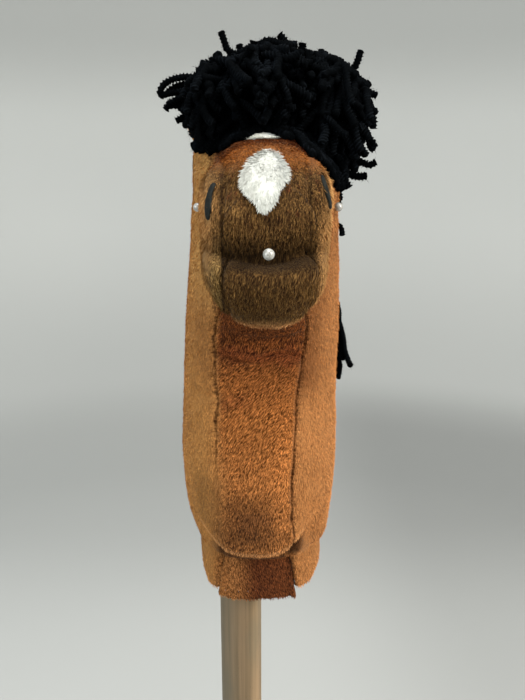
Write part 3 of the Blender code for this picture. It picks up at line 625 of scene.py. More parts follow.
def plush_look(name, pile):
    """Chestnut plush, darker and olive on the front of the muzzle, with a combed grain. The
    backing under the pile is darker than the pile's ends."""
    look = Look(name, Roughness=0.95, Specular_IOR_Level=0.06, Sheen_Weight=0.08, Sheen_Roughness=0.5,
                Sheen_Tint=(1.0, 0.70, 0.45, 1))
    across, height = look.x - HEAD_SHIFT, look.z - HEM
    # The gusset's tufts lean over towards the throat
    lean = height.smallest(150) - 75
    slanted = look.add("CombineXYZ", look.x - lean * lean * 0.0045 - look.z * 0.3, look.y, look.z)
    tufts = look.noise(0.42, 2.0, 0.6, (1, 1, 5.0), 0.1, at=slanted)
    nap = look.noise(0.5, 2.0, 0.55, (1, 1, 6), 0.2)
    streaks = look.noise(0.7, 2.0, 0.55, (1, 1, 9), 0.6)
    coarse = look.noise(8.0, 2.0, 0.5, (1, 1, 1.4))
    broad = look.noise(38.0, 1.0, 0.5)
    wiggle = (height / 7.3).wave() * 0.5 + (height / 3.1 + 2).wave() * 0.35
    left_course = height.ramp(38, 0) * 2.8 + 22.2 + wiggle
    right_course = wiggle * 0.5 + 20.5 - height.ramp(0, 38) * 4.9 - height.ramp(38, 80) * 1.3
    for low, high, wider in ((80, 105, 0.9), (105, 130, 1.8), (130, 163, 4)):
        right_course = right_course + height.ramp(low, high) * wider
    to_left, to_right = across + left_course, across - right_course
    firm = height.ramp(84, 112)
    gusset = to_left.ramp(-1, 3.5) * firm + to_left.ramp(-7, 9) * (1 - firm)
    gusset = gusset * to_right.ramp(1, -2.5) * look.y.ramp(-6, -14)

    def near(middle, none, all_of_it, value=height):
        return (value - middle).magnitude().ramp(none, all_of_it)

    # The gusset's strip is darker higher up, and below the chin it is painted lighter on its right, painted
    # light from that side
    strip = look.blend(height.ramp(60, 125), (0.37, 0.143, 0.041), (0.30, 0.108, 0.027))
    strip = look.tint(strip, 1 + across.ramp(-6, 14) * height.ramp(140, 100) * 0.3)
    # Painted shadow of the muzzle on the side panels beside the throat
    beside = (1 - gusset) * look.y.ramp(-15, -25) * height.ramp(116, 142)
    on_left, on_right = across.ramp(-12, -16), across.ramp(12, 16)
    muzzle_shadow = beside * (on_right * across.ramp(38, 16) * 0.8 + on_left * across.ramp(-38, -28) * 0.35)
    inner = (1 - gusset) * on_left * across.ramp(-38, -30) * look.y.ramp(-15, -25)
    cheek = (1 - gusset) * height.ramp(156, 192) * look.y.ramp(-4, -30)
    wrinkle_shade = gusset * (height - 148 + (coarse - 0.5) * 14).magnitude().ramp(6, 0.5)
    lower = gusset * (height - 126 + (coarse - 0.5) * 10).magnitude().ramp(5, 1) * across.ramp(0, -12)
    # The belly of the throat hangs over the lower flap in a bow; a painted highlight runs along its lower
    # edge and a painted shadow lies under it
    bow, right_half = (across + 1).magnitude() / 33, across.ramp(-1.1, -0.9)
    belly = height - 42 - bow**2.54 * right_half * 38 - bow**3 * (1 - right_half) * 15.5
    facing = look.y.ramp(-12, -18) * across.ramp(24, 18)
    belly_highlight = facing * across.ramp(-36, -30) * near(3.8, 2.8, 0.7, belly)
    shadow = facing * across.ramp(-28, -21) * belly.ramp(1.5, -0.5) * belly.ramp(-17, -8)
    # painted shade on the lower flap under the belly, darkest on the right
    flap_shade = look.blend(across.ramp(-18, -2), (0.31, 0.128, 0.040), (0.068, 0.015, 0.005))
    # a darker mottled patch low on the chest
    chest_patch = gusset * near(64, 12, 3) * near(-5, 13, 5, across)
    chestnut = look.layered(
        # the left side panel a little yellower than the right, painted light matched to each side
        look.blend(across.ramp(-4, -34), (0.44, 0.188, 0.062), (0.45, 0.210, 0.059)),
        (gusset, strip),
        (muzzle_shadow, (0.15, 0.048, 0.014)),
        # painted shade on the left panel beside its seam, level with the belly
        1 - inner * near(72, 20, 8) * 0.32,
        # painted light and shade: the left cheek painted lighter, the right cheek a little darker
        (cheek * across.ramp(0, -20), (0.54, 0.285, 0.087)),
        1 - cheek * across.ramp(0, 20) * 0.08,
        # painted shade under the chin, on the upper gusset
        (gusset * height.ramp(114, 162) * 0.95, (0.095, 0.026, 0.006)),
        # painted shade in the throat's fold
        (wrinkle_shade * 0.7, (0.13, 0.033, 0.010)),
        # painted shade in the lower fold at the throat's left
        (lower * 0.5, (0.17, 0.05, 0.015)),
        # painted shade where the belly turns under
        1 - gusset * near(52, 12, 5) * 0.2,
        (belly_highlight * 0.42, (0.56, 0.30, 0.13)),
        (gusset * height.ramp(36, 26) * 0.9, flap_shade),
        (shadow * 0.8, (0.035, 0.010, 0.004)),
        (chest_patch * coarse.ramp(0.25, 0.6) * 0.5, (0.16, 0.060, 0.024)),
        # painted shade where the belly's front turns down, more to the left
        1 - gusset * near(65, 23, 8) * (0.28 + across.ramp(10, -4) * 0.24),
    )

    muzzle = look.y.ramp(-84, -104)
    paler = near(-8, 8, 3, across) * height.ramp(205, 214) * 0.35
    crease = (height - MOUTH + 5.5).ramp(-3, 0.5) * (height - MOUTH + 5).ramp(14, 1)
    flecks = look.noise(2.4, 2.0, 0.6, (1, 1, 2)).ramp(0.56, 0.68) * height.ramp(208, 226)
    band = height.ramp(229, 237)
    khaki = look.blend(streaks.ramp(0.3, 0.7), (0.18, 0.111, 0.037), (0.29, 0.176, 0.061))
    tan = look.blend(streaks.ramp(0.3, 0.7), (0.27, 0.143, 0.049), (0.34, 0.18, 0.066))
    # painted light on the tan of the muzzle's sides: lighter on the left near its middle height and on the
    # right higher up
    tan = look.tint(tan, 1 + across.ramp(-14, -20) * (near(216, 11, 4) * 0.55 - 0.08)
                    + across.ramp(14, 19) * (height.ramp(202, 212) * 0.36 - 0.14))
    # The tan of the side panels begins past the muzzle's seams, lower down on the right
    off = across + 1.1
    left = 0 - off
    chin = height.ramp(206, 198)
    left_side = (left - 17.0 - chin * 0.6).ramp(0, 2.6) * 0.65
    left_side = (left_side + (left - 14.6).ramp(0, 1.4) * 0.35 * (1 - chin)) * height.ramp(236, 224)
    right_side = (off - 16.8).ramp(0, 4.0) * height.ramp(226, 208)
    round_side = (off.magnitude() - 21.5).ramp(0, 2.5) * height.ramp(238, 230)
    jowl = (left - 14.4).ramp(0, 1.6) * height.ramp(209, 202)
    left_seam = (left - 14.6 + chin * 0.2).magnitude().ramp(0.8, 0.2) * 0.45
    right_seam = (off - 15.6 - chin * 2.6).magnitude().ramp(0.7, 0.15) * 0.35
    olive = look.layered(
        look.blend(streaks.ramp(0.34, 0.66), (0.045, 0.021, 0.006), (0.130, 0.069, 0.021)),
        # painted light: the front lighter towards its sides, and in a paler patch left of the middle above
        # the mouth
        0.88 + near(-1.1, 5, 14, across) * 0.24 + paler,
        # painted shade above the mouth's crease
        1 - crease * 0.62,
        (flecks * 0.6, (0.075, 0.017, 0.006)),
        (band * 0.9, (0.25, 0.080, 0.014)),
        (jowl * 0.85, khaki),
        ((left_side + right_side).largest(round_side), tan),
        1 - (left_seam + right_seam) * (1 - band) * look.y.ramp(-92, -100),
        # painted highlight along the underside of the chin
        (height.ramp(181, 174) * 0.85, (0.60, 0.31, 0.125)),
    )
    color = look.blend(muzzle, chestnut, olive)

    fine = (1 - gusset) * (1 - muzzle)
    rough = (height.ramp(112, 140) * 4.5 + 8.0) * (1 - muzzle) + muzzle * 6.0
    shade = 1 + (tufts - 0.5) * gusset * rough + (nap - 0.5) * fine * 2.0 + (streaks - 0.5) * muzzle * 0.2
    # Light and dark stripes near the seams, painted shade of small puckering
    pucker_shading = look.noise(1.1, 2.0, 0.6, (3.2, 1, 1), 0.4)
    seamed = to_left.magnitude().ramp(5.5, 0.8) * (height.ramp(84, 112) + height.ramp(30, 20))
    seamed = (seamed + to_right.magnitude().ramp(3.5, 0.6)) * look.y.ramp(-8, -14) * (1 - muzzle)
    shade = shade + (pucker_shading - 0.5) * seamed * 2.6
    shade = shade + (coarse - 0.5) * 0.3 + (broad - 0.5) * 0.25
    shade = shade.largest(0.25)
    # Where the grain is darker it is painted redder, standing in for light bounced between the tufts
    redder = look.blend(1.0, color, (1.0, 0.74, 0.5), "MULTIPLY")
    color = look.blend((1 - shade).ramp(0, 0.7) * 0.8, color, redder)
    gathered = look.noise(2.0, 3.0, 0.65)
    stray = (gathered - 0.5) * 3.4
    pucker = (height * 2.1 + (height * 0.7).wave() * 2).wave() * 0.5 + 0.5
    left_line = (to_left + stray).magnitude() / (0.35 + pucker * 1.1)
    left_line = left_line.ramp(1.1, 0.2) * (height.ramp(90, 116) + height.ramp(26, 18) * 0.7)
    right_line = (to_right + stray * 0.5).magnitude() / (0.3 + pucker * 0.7)
    right_line = right_line.ramp(1.1, 0.2) * height.ramp(46, 52)
    sewn = (left_line * 0.7 + right_line * 0.6) * look.y.ramp(-8, -14) * (1 - muzzle)
    color = look.blend(sewn * gathered.ramp(0.30, 0.55), color, (0.065, 0.020, 0.007))
    if not pile:
        shade = shade * 0.6
        look.bump(tufts, 0.9, 0.7)
    look.color(look.tint(color, shade))
    return look


plush_sheet = plush_look("plush backing", False)
plush_pile = plush_look("plush pile", True)

# The snip's and the nostrils' outlines are columns and rows of the photo, the star's is x and y
snip_outline = rounded(
    271, 144.5, 278, 150, 283, 158, 289, 166.5, 290, 175, 285.5, 182, 280, 190, 278, 199, 274, 206,
    266, 214.5, 259, 211.5, 255.5, 205, 251, 199, 244.5, 193, 240, 186, 239, 178.5, 242.5, 169,
    249, 159, 256, 152, 264, 146,
)
star_outline = rounded(0, -10, 4.6, -7.5, 7.2, 0, 4.2, 8, 0, 11, -4.2, 8, -7.2, 0, -4.6, -7.5)
star_outline = star_outline + np.array([HEAD_SHIFT + 0.5, -52.3])
nostril_outlines = {
    "left": rounded(214, 182, 216, 184, 213, 193, 212, 202, 211, 212, 210, 219, 207.5, 221,
                    205.8, 215, 205.6, 207, 206.6, 199, 209, 190, 211.5, 184),
    "right": rounded(320.6, 175, 322.5, 176, 326.0, 186, 329.2, 197, 330.8, 208, 329.7, 210,
                     328.2, 206, 326.2, 198, 323.0, 188),
}

# Other looks

# White pile, painted darker in the snip's middle, where the light falls strongest, and lighter at its edge
# and low end; the star's pile is painted much lighter, against the mop's shadow on it
white_pile = Look("white pile", Roughness=0.9, Specular_IOR_Level=0.15, Sheen_Weight=0.2)
grain = white_pile.noise(0.7, 2.0, 0.6, (1, 1, 4))
snow = white_pile.blend(grain.ramp(0.3, 0.6), (0.42, 0.43, 0.397), (0.48, 0.49, 0.455))
on_star = white_pile.y.ramp(-78, -70)
aside, up = white_pile.x - HEAD_SHIFT, white_pile.z - HEM - 236
# painted light and shade: the edge and low end lighter, the middle darker, the star lighter
edge = (aside * aside + up * up).ramp(6, 80) * (1 - on_star)
edge = edge + white_pile.z.ramp(HEM + 230, HEM + 227) * 0.7 * (1 - on_star)
white_pile.color(white_pile.tint(snow, 0.88 + edge * 0.22 + on_star * 0.73))
white_pile.bump(grain, 0.4, 0.5)

# Smooth dark grey sheet with a faint leather grain and worn, paler high spots
slate = Look("slate sheet", Roughness=0.6, Specular_IOR_Level=0.1)
grain, worn = slate.cells(0.45), slate.noise(3.0, 3.0, 0.6)
slate.color(slate.blend(worn.ramp(0.4, 0.7), (0.006, 0.007, 0.006), (0.013, 0.015, 0.013)))
slate.rough(0.5 + worn * 0.2)
slate.bump(grain, 0.12, 0.5)

# Black plied yarn: fine hairs along the plies and a painted blue-grey highlight on the ridges
yarn = Look("black yarn", Roughness=0.85, Specular_IOR_Level=0.02)
ridge = yarn.add("Attribute", out=2, attribute_name="ridge")
hairs, lint = yarn.noise(0.35, 3.0, 0.65), yarn.noise(7.0, 2.0, 0.5)
tone = yarn.blend(hairs.ramp(0.35, 0.75), (0.0002, 0.0004, 0.0006), (0.0012, 0.0019, 0.0026))
lit = ridge**4 * (0.3 + hairs * 0.9) * lint.ramp(0.42, 0.68)
yarn.color(yarn.blend(lit, tone, (0.010, 0.013, 0.017)))
yarn.bump(hairs, 0.35, 0.8)

# Sanded beech: straight grain up the stick, short darker flecks and grey handling marks
wood = Look("beech", Roughness=0.6, Specular_IOR_Level=0.35)
rings = wood.noise(3.2, 3.0, 0.55, (1, 1, 60), 0.3)
fine = wood.noise(0.7, 2.0, 0.6, (1, 1, 30))
grey = wood.noise(26, 3.0, 0.6, (1, 1, 2.5)).ramp(0.45, 0.7)
beech = wood.layered(
    wood.blend(rings.ramp(0.3, 0.7), (0.125, 0.085, 0.043), (0.200, 0.134, 0.073)),
    (grey * 0.5, (0.105, 0.090, 0.057)),
    (wood.cells(1.6, (1, 1, 5)).ramp(0.16, 0.05) * 0.45, (0.09, 0.05, 0.026)),
    # painted light from the right: greyer on the stick's left side, lighter on its right
    (wood.x.ramp(1, -9) * 0.35, (0.125, 0.112, 0.076)),
    0.88 + wood.x.ramp(3, 9) * 0.5,
    (wood.z.ramp(30, 0) * 0.5, (0.09, 0.06, 0.035)),
    0.85 + fine * 0.3,
)
wood.color(beech)
wood.rough(0.5 + fine * 0.2)
wood.bump(rings * 0.4 + fine * 0.6, 0.12, 0.5)

# Pearly lacquer on plastic, with faint clouds in it
pearl = Look("pearl", Roughness=0.22, Specular_IOR_Level=0.6, Coat_Weight=0.7, Coat_Roughness=0.08)
clouds = pearl.noise(1.3, 2.0, 0.5, twist=0.6)
pearl.color(pearl.blend(clouds.ramp(0.35, 0.65), (0.22, 0.22, 0.20), (0.38, 0.38, 0.355)))
pearl.rough(0.18 + clouds * 0.12)

# Drawn steel wire, a little uneven
steel = Look("pin wire", Metallic=1.0, Roughness=0.25)
lines = steel.noise(0.12, 2.0, 0.6, (12, 12, 12))
steel.color(steel.blend(lines, (0.48, 0.48, 0.50), (0.68, 0.68, 0.70)))
steel.rough(0.18 + lines * 0.2)

# Black twill tape
tape = Look("black tape", Roughness=0.9, Specular_IOR_Level=0.2)
ribs = ((tape.x + tape.z + tape.y) * 3.6).wave() * 0.5 + 0.5
threads = tape.noise(0.3, 2.0, 0.5)
tape.color(tape.blend(ribs * 0.5 + threads * 0.5, (0.004, 0.004, 0.005), (0.016, 0.016, 0.018)))
tape.bump(ribs, 0.2, 0.7)

# Loose white fibre
wadding = Look("wadding", Roughness=1.0, Specular_IOR_Level=0.1, Sheen_Weight=0.3)
tangle = wadding.noise(1.6, 4.0, 0.7, twist=1.5)
wadding.color(wadding.blend(tangle.ramp(0.3, 0.7), (0.55, 0.55, 0.53), (0.86, 0.86, 0.84)))
wadding.bump(tangle, 1.2, 0.9)


def wear(node, look):
    """A CAD node that stays gets a look."""
    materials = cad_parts[node].data.materials
    materials.clear()
    materials.append(look.material)


# Pile


def lay_of(roots, normals):
    """The way that the pile lies: combed down, forward where the plush faces up, leaning over on
    the throat gusset, and uneven from tuft to tuft."""
    x, y, height = roots[:, 0] - HEAD_SHIFT, roots[:, 1], roots[:, 2] - HEM
    gusset = smoothstep(21, 18, np.abs(x + 3)) * smoothstep(-20, -28, y) * smoothstep(-90, -75, y)
    lean = (-0.009 * (np.minimum(height, 150) - 75) - 0.3) * gusset
    loose = 0.10 + 0.30 * gusset
    return normalised(flattened(stacked(lean + loose * lumps(roots, 2.6, 20), -0.35, -1.0), normals))


def blades(name, roots, normals, lay, length, width, lift, look, slot, spread=0.35):
    """Short pile as thin blades with their foot in the plush. Each has its own cell of the OFBake map."""
    count = len(roots)
    lift = lift + 0.10 * lumps(roots, 2.0, 21)[:, None]
    ways = normalised(lay + spread * chance.normal(size=(count, 3)))
    ways = normalised(flattened(ways, normals))
    rise = lift + 0.12 * chance.normal(size=(count, 1))
    ways = normalised(ways * np.cos(rise) + normals * np.sin(rise))
    aside = normalised(np.cross(ways, normals))
    long = length * chance.uniform(0.7, 1.25, (count, 1))
    half = width / 2 * chance.uniform(0.7, 1.3, (count, 1))
    foot = roots - normals * 0.25
    middle = foot + ways * long * 0.55
    tip = foot + ways * long + normals * long * 0.10 * chance.normal(size=(count, 1))
    points = np.stack([foot - aside * half, foot + aside * half, middle + aside * half * 0.8, tip], axis=1)
    side = math.ceil(math.sqrt(count))
    cell = stacked(np.arange(count) % side, np.arange(count) // side)[:, None, :]
    corner = np.array([(0.2, 0.2), (0.8, 0.2), (0.8, 0.8), (0.2, 0.8)])[None]
    return piece(name, points, [np.arange(count * 4).reshape(-1, 4)], look, slot, uv=(cell + corner) / side,
                 smooth=False)


def scatter(points, normals, seam, density, keep=None):
    """Feet of the pile over a grid, density of them a square millimetre, where keep allows. Few
    stand right on a seam."""
    a, b, c, d = points[:-1, :-1], points[:-1, 1:], points[1:, 1:], points[1:, :-1]
    area = np.linalg.norm(np.cross(c - a, d - b), axis=-1) / 2
    share = area.ravel() / area.sum()
    count = int(area.sum() * density)
    row, column = np.unravel_index(chance.choice(len(share), count, p=share), area.shape)
    u, v = chance.uniform(size=(2, count, 1))

    def inside(grid):
        low = grid[row, column] * (1 - u) + grid[row, column + 1] * u
        high = grid[row + 1, column] * (1 - u) + grid[row + 1, column + 1] * u
        return low * (1 - v) + high * v

    roots = inside(points)
    kept = chance.uniform(size=count) < 0.10 + smoothstep(0.4, 1.5, inside(seam[..., None])[:, 0])
    if keep:
        kept &= keep(roots)
    return roots[kept], normalised(inside(normals))[kept]


def side_outline(side):
    """An eye's drop shape on the side of the head, as y and height."""
    middle, half = box_of(f"{side}_eye")
    turn = around(48)
    wide = half[1] * np.cos(turn) * (1 - 0.25 * np.sin(turn))
    return stacked(middle[1] + wide, middle[2] + half[2] * np.sin(turn))


SIDES = {"left": -1, "right": 1}
# Blades of pile on a square millimetre, and how far the pile keeps off the slate pieces
PILE_DENSITY, EAR_PILE_DENSITY = 3.6, 3.2
CLEAR_OF_EYE, CLEAR_OF_NOSTRIL = 1.12, 1.1


def bare_of_pieces(roots):
    """Which feet of the pile are clear of the eyes, the nostrils and the white markings."""
    taken = np.zeros(len(roots), bool)
    for side, sign in SIDES.items():
        beside = sign * (roots[:, 0] - HEAD_SHIFT) > 14
        taken |= beside & inside_outline(roots[:, 1:], grown(side_outline(side), CLEAR_OF_EYE))
    spots = stacked(*seen(roots)[:2])
    nostrils = (grown(outline, CLEAR_OF_NOSTRIL) for outline in nostril_outlines.values())
    for outline in (snip_outline, *nostrils):
        taken |= inside_outline(spots, outline) & (roots[:, 1] < -100)
    taken |= inside_outline(roots[:, :2], star_outline) & (roots[:, 2] > HEM + 235)
    return ~taken


def make_plush():
    """The four sewn panels and their pile."""
    for name, (points, normals, _) in panels.items():
        if name != "nose":
            points = with_hem(points, normals)
        node = f"{name}_side_panel" if name in SIDES else f"{name}_gusset"
        rows, columns = points.shape[:2]
        uv = stacked(*np.meshgrid(np.linspace(0.02, 0.98, columns), np.linspace(0.01, 0.99, rows)))
        faces = [grid_faces(rows, columns)]
        piece(f"{name}_plush", points, faces, plush_sheet, "plush", node, uv=uv, fill=0.85)
    for name, panel in panels.items():
        roots, normals = scatter(*panel, PILE_DENSITY, bare_of_pieces)
        muzzle = smoothstep(-84, -104, roots[:, 1:2])
        blades(f"{name}_pile", roots, normals, lay_of(roots, normals), 1.7 + 0.9 * muzzle,
               0.30 - 0.08 * muzzle, 0.36 - 0.08 * muzzle, plush_pile, "plush", spread=0.24)


def make_wadding():
    """The loose fibre that fills head and neck, open round the stick, with wisps at the hem."""
    columns = 96
    inner = places[places > 0.02][::4]
    angles = np.broadcast_to(around(columns), (len(inner), columns))
    apart = np.full(angles.shape, 99.0)
    skin, normals = dressed(inner, angles, apart, apart, (0, 0))
    skin = skin - normals * (3.4 + 2.5 * smoothstep(0, 25, skin[..., 2:] - HEM))
    first = skin[0]
    first[:, 2] = HEM + 5 + 2.5 * lumps(first, 7, 41)
    socket = circle(angles[0] + math.pi / 2)
    low = []
    for share in np.linspace(0, 1, 14)[:-1]:
        ring = socket * (SOCKET_RADIUS + 0.2) * (1 - share) + (first * share)
        ring[:, 2] = HEM + 4 + 7 * (1 - share) ** 6 + 1.6 * lumps(ring, 6, 42) + 0.8 * lumps(ring, 2.2, 43)
        low.append(ring)
    heights = np.linspace(SOCKET_DEPTH, 14, 24)
    tube = [socket * SOCKET_RADIUS + np.array([0, 0, HEM + height]) for height in heights]
    top = np.array([0, 0, HEM + SOCKET_DEPTH + 1.5])
    points, faces = capped(np.concatenate([tube, low, skin]), top, skin[-1].mean(axis=0))
    piece("wadding_fill", points, faces, wadding, "wadding", "head_stuffing", "neck_stuffing", fill=0.85)
    wisps = 2600
    turn = chance.uniform(0, full, wisps)
    share = chance.uniform(0.05, 1, wisps)
    roots = np.array(low)[(share * 12.9).astype(int), (turn / full * columns).astype(int) % columns]
    down = np.tile([0.0, 0.0, -1.0], (wisps, 1))
    lay = normalised(chance.normal(size=roots.shape) * [1, 1, 0.1])
    blades("wadding_wisps", roots, down, lay, 5.0, 0.10, 0.12, wadding, "wadding", spread=0.5)


def make_ears():
    """Two cupped ears of plush on both faces, pinched at the root."""
    length, width, thick, cup, root = 40.0, 23.0, 3.2, 4.5, 6.0
    turn = around(40)
    t = np.linspace(0, 1, 64)[:, None]
    flat = width / 2 * np.maximum(np.sin(math.pi * (0.20 + 0.80 * t)), 0) ** 0.75 * np.cos(turn)
    hollow = cup * np.cos(turn) ** 2 * (1 - t)
    body = thick / 2 * np.sqrt(np.maximum(1 - t, 0)) ** 0.5 * np.sin(turn)
    lift = hollow + thick / 2 + body + 0.5 * lumps(stacked(flat, hollow, t * length), 9, 45)
    for side, sign in SIDES.items():
        on, _ = cast((HEAD_SHIFT + sign * 25, 9, HEM + POLL + 60), (0, 0, -1))
        up = normalised(np.array([sign * 0.36, 0.34, 0.86]))
        across = normalised(np.cross(np.array([sign * -0.35, 1, 0]), up))
        out = np.cross(up, across)
        points = on + flat[..., None] * across + lift[..., None] * out + (length * t - root)[..., None] * up
        body_points, faces = capped(points, points[0].mean(axis=0), points[-1].mean(axis=0))
        piece(f"{side}_ear_plush", body_points, faces, plush_sheet, "plush", f"{side}_ear", fill=0.5)
        closed = np.concatenate([points, points[:, :1]], axis=1)
        ways = normalised(np.cross(np.gradient(closed, axis=1), np.gradient(closed, axis=0)) + 1e-9)
        center = points.mean(axis=1)[:, None]
        ways = ways * np.sign(np.sum(ways * (closed - center), axis=-1, keepdims=True) + 1e-9)
        roots, normals = scatter(closed, ways, np.full(closed.shape[:2], 9.0), EAR_PILE_DENSITY)
        blades(f"{side}_ear_pile", roots, normals, normalised(flattened(up, normals)), 1.7, 0.30, 0.32,
               plush_pile, "plush")


# Markings, nostrils and eyes


def patch(name, outline, place, thick, look, slot, replaced, rings=9, edge=0.15):
    """A sewn piece whose outline is placed on the plush. It is thick in its middle and goes down
    into the plush at its edge."""
    points = []
    for k in range(rings + 1):
        share = 1 - k / rings
        for spot in grown(outline, share) if k < rings else [outline.mean(axis=0)]:
            on, normal = place(spot)
            points.append(on + normal * (thick * (1 - share**3) ** 0.5 + edge - 0.6 * (share > 0.99)))
    columns = len(outline)
    faces = [grid_faces(rings, columns, closed=True), fan((rings - 1) * columns, columns, rings * columns)]
    piece(name, points, faces, look, slot, replaced)


def from_camera(spot):
    """The place on the plush at a column and row of the photo."""
    return cast(camera_spot, unseen(spot[0], spot[1], 1.0) - camera_spot)


def from_above(spot):
    """The place on the plush's top at an x and y."""
    return cast((spot[0], spot[1], HEM + POLL + 40), (0, 0, -1))


def even_sheet(outline):
    """A smooth sheet over the plush within an outline of the photo, as a way to place spots."""
    middle, half = outline.mean(axis=0), np.ptp(outline, axis=0) / 2

    def terms(spots):
        u, v = ((np.asarray(spots, float) - middle) / half).T
        return stacked(*(u**i * v**j for i in range(5) for j in range(5 - i)))

    spots = middle + half * chance.uniform(-1, 1, (700, 2))
    spots = spots[inside_outline(spots, outline)]
    depths = np.array([seen(from_camera(spot)[0])[2] for spot in spots])
    shares = np.linalg.lstsq(terms(spots), depths, rcond=None)[0]

    def spot_on(spot):
        return unseen(spot[0], spot[1], float(terms([spot])[0] @ shares) - 0.3)

    def place(spot):
        on, aside, down = (spot_on(np.add(spot, step)) for step in ((0, 0), (1.5, 0), (0, 1.5)))
        return on, normalised(np.cross(down - on, aside - on))

    return place


def strewn(outline, low, high, count):
    """Spots within an outline, out of count of them in a box."""
    spots = chance.uniform(low, high, (count, 2))
    return spots[inside_outline(spots, outline)]


def white_pieces(name, outline, spots, place, lay_at, length, width, lift, spread):
    """A white backing within an outline, and its pile, which lies as lay_at says for each spot."""
    patch(f"{name}_backing", outline, place, 0.8, white_pile, "white_plush", name)
    roots, normals = (np.array(part) for part in zip(*[place(spot) for spot in spots]))
    lay = normalised(flattened(lay_at(spots), normals))
    blades(f"{name}_pile", roots + normals * 0.6, normals, lay, length, width, lift, white_pile,
           "white_plush", spread=spread)


def make_markings():
    """White pile sewn into the nose and the forehead, longer than the chestnut."""

    def on_snip(spots):
        fan_x, fan_y = (spots - np.array([268, 158])).T
        return stacked(fan_x / 26, 0, -0.35 - np.abs(fan_y) / 28)

    def on_star(spots):
        fan_x, fan_y = (spots - star_outline.mean(axis=0)).T
        return stacked(fan_x / 12, fan_y / 12 - 0.6, -0.3)

    rooted = grown(snip_outline, 0.86)
    spots = strewn(rooted, (236, 142), (294, 219), 16500)
    white_pieces("nose_snip", rooted, spots, even_sheet(rooted), on_snip, 2.2, 0.32, 0.24, 0.2)
    spots = strewn(star_outline, star_outline.min(axis=0), star_outline.max(axis=0), 5200)
    white_pieces("forehead_star", star_outline, spots, from_above, on_star, 1.8, 0.36, 0.2, 0.3)


def make_sides():
    """Nostrils and eyes: smooth slate pieces, let into the plush of the side panels."""
    for side, sign in SIDES.items():

        def from_side(spot):
            return cast((HEAD_SHIFT + sign * 90, spot[0], spot[1]), (-sign, 0, 0))

        patch(f"{side}_nostril_sheet", nostril_outlines[side], from_camera, 0.5, slate, "slate_patch",
              f"{side}_nostril", edge=0.35)
        patch(f"{side}_eye_sheet", side_outline(side), from_side, 0.4, slate, "slate_patch",
              f"{side}_eye", edge=0.0)


# Stick and pins


def lathe(name, profile, columns, look, slot, replaced, body, middle=(0, 0, 0), wobble=0.0):
    """A turned piece from (radius, height) pairs, from its bottom up, closed at both ends."""
    ring = circle(around(columns))
    points = np.array([ring * radius + np.array([0, 0, height]) for radius, height in profile])
    out = normalised(points * np.array([1, 1, 0]))
    points = points + out * (wobble * lumps(points, 30, 9, (1, 1, 3)))[..., None]
    points, faces = capped(points, points[0].mean(axis=0), points[-1].mean(axis=0))
    piece(name, points + middle, faces, look, slot, replaced, body=body)


def make_stick():
    """The dowel, with its edges worn round."""
    worn = ((1.2, 0.0), (0.7, 0.25), (0.25, 0.8), (0.0, 1.7))
    edge = [(STICK_RADIUS - inward, height) for inward, height in worn]
    sides = [(STICK_RADIUS, height) for height in np.linspace(6, STICK_LENGTH - 6, 198)]
    top = [(radius, STICK_LENGTH - height) for radius, height in reversed(edge)]
    lathe("beech_stick", edge + sides + top, 72, wood, "wood", "stick", "stick", wobble=0.12)


def make_pins():
    """Pearl heads with their wires."""
    turns = np.linspace(-math.pi / 2, math.pi / 2, 34)[1:-1]
    ball = [(2.0 * math.cos(turn), 2.0 * math.sin(turn)) for turn in turns]
    for side in ("front", "left", "right"):
        pin = f"{side}_pin"
        lathe(f"{side}_pearl", [(0.25, -2.0), *ball, (0.25, 2.0)], 48, pearl, "pearl", f"{pin}_pearl", pin,
              middle=box_of(f"{pin}_pearl")[0])
        wear(f"{pin}_shaft", steel)


# Yarn: three-ply strands, each a twisted tube along its own path

YARN_RADIUS, PLY_TURN = 1.85, 4.5
STRAND_RINGS, MANE_RINGS = 144, 162
MOP_MIDDLE = np.array([270.0, 108.0])
# The mop's outline, as the photo's columns and rows
MOP_EDGE = np.reshape(
    [371, 108, 368, 128, 364, 150, 350, 170, 338, 186, 330, 168, 316, 154, 302, 143, 284, 139, 265, 136,
     247, 139, 232, 143, 214, 154, 203, 151, 199, 138, 188, 120, 183, 107, 188, 94, 193, 81, 204, 68,
     222, 58, 243, 53, 262, 45, 275, 41, 290, 44, 302, 48, 326, 57, 344, 67, 357, 82, 367, 96],
    (-1, 2),
)


def even_paths(controls, count):
    """Smooth paths through control points (strand, point, 3), each with count even points."""
    controls = np.asarray(controls, float)
    last = controls.shape[1] - 1
    t = np.linspace(0, last, last * 12 + 1)
    first = np.minimum(t.astype(int), last - 1)
    four = (controls[:, np.clip(first + k, 0, last)] for k in (-1, 0, 1, 2))
    curves = through(*four, (t - first)[None, :, None])
    even = []
    for curve, along in zip(curves, lengths_along(curves)):
        wanted = np.linspace(0, along[-1], count)
        even.append(stacked(*(np.interp(wanted, along, curve[:, axis]) for axis in range(3))))
    return np.array(even)


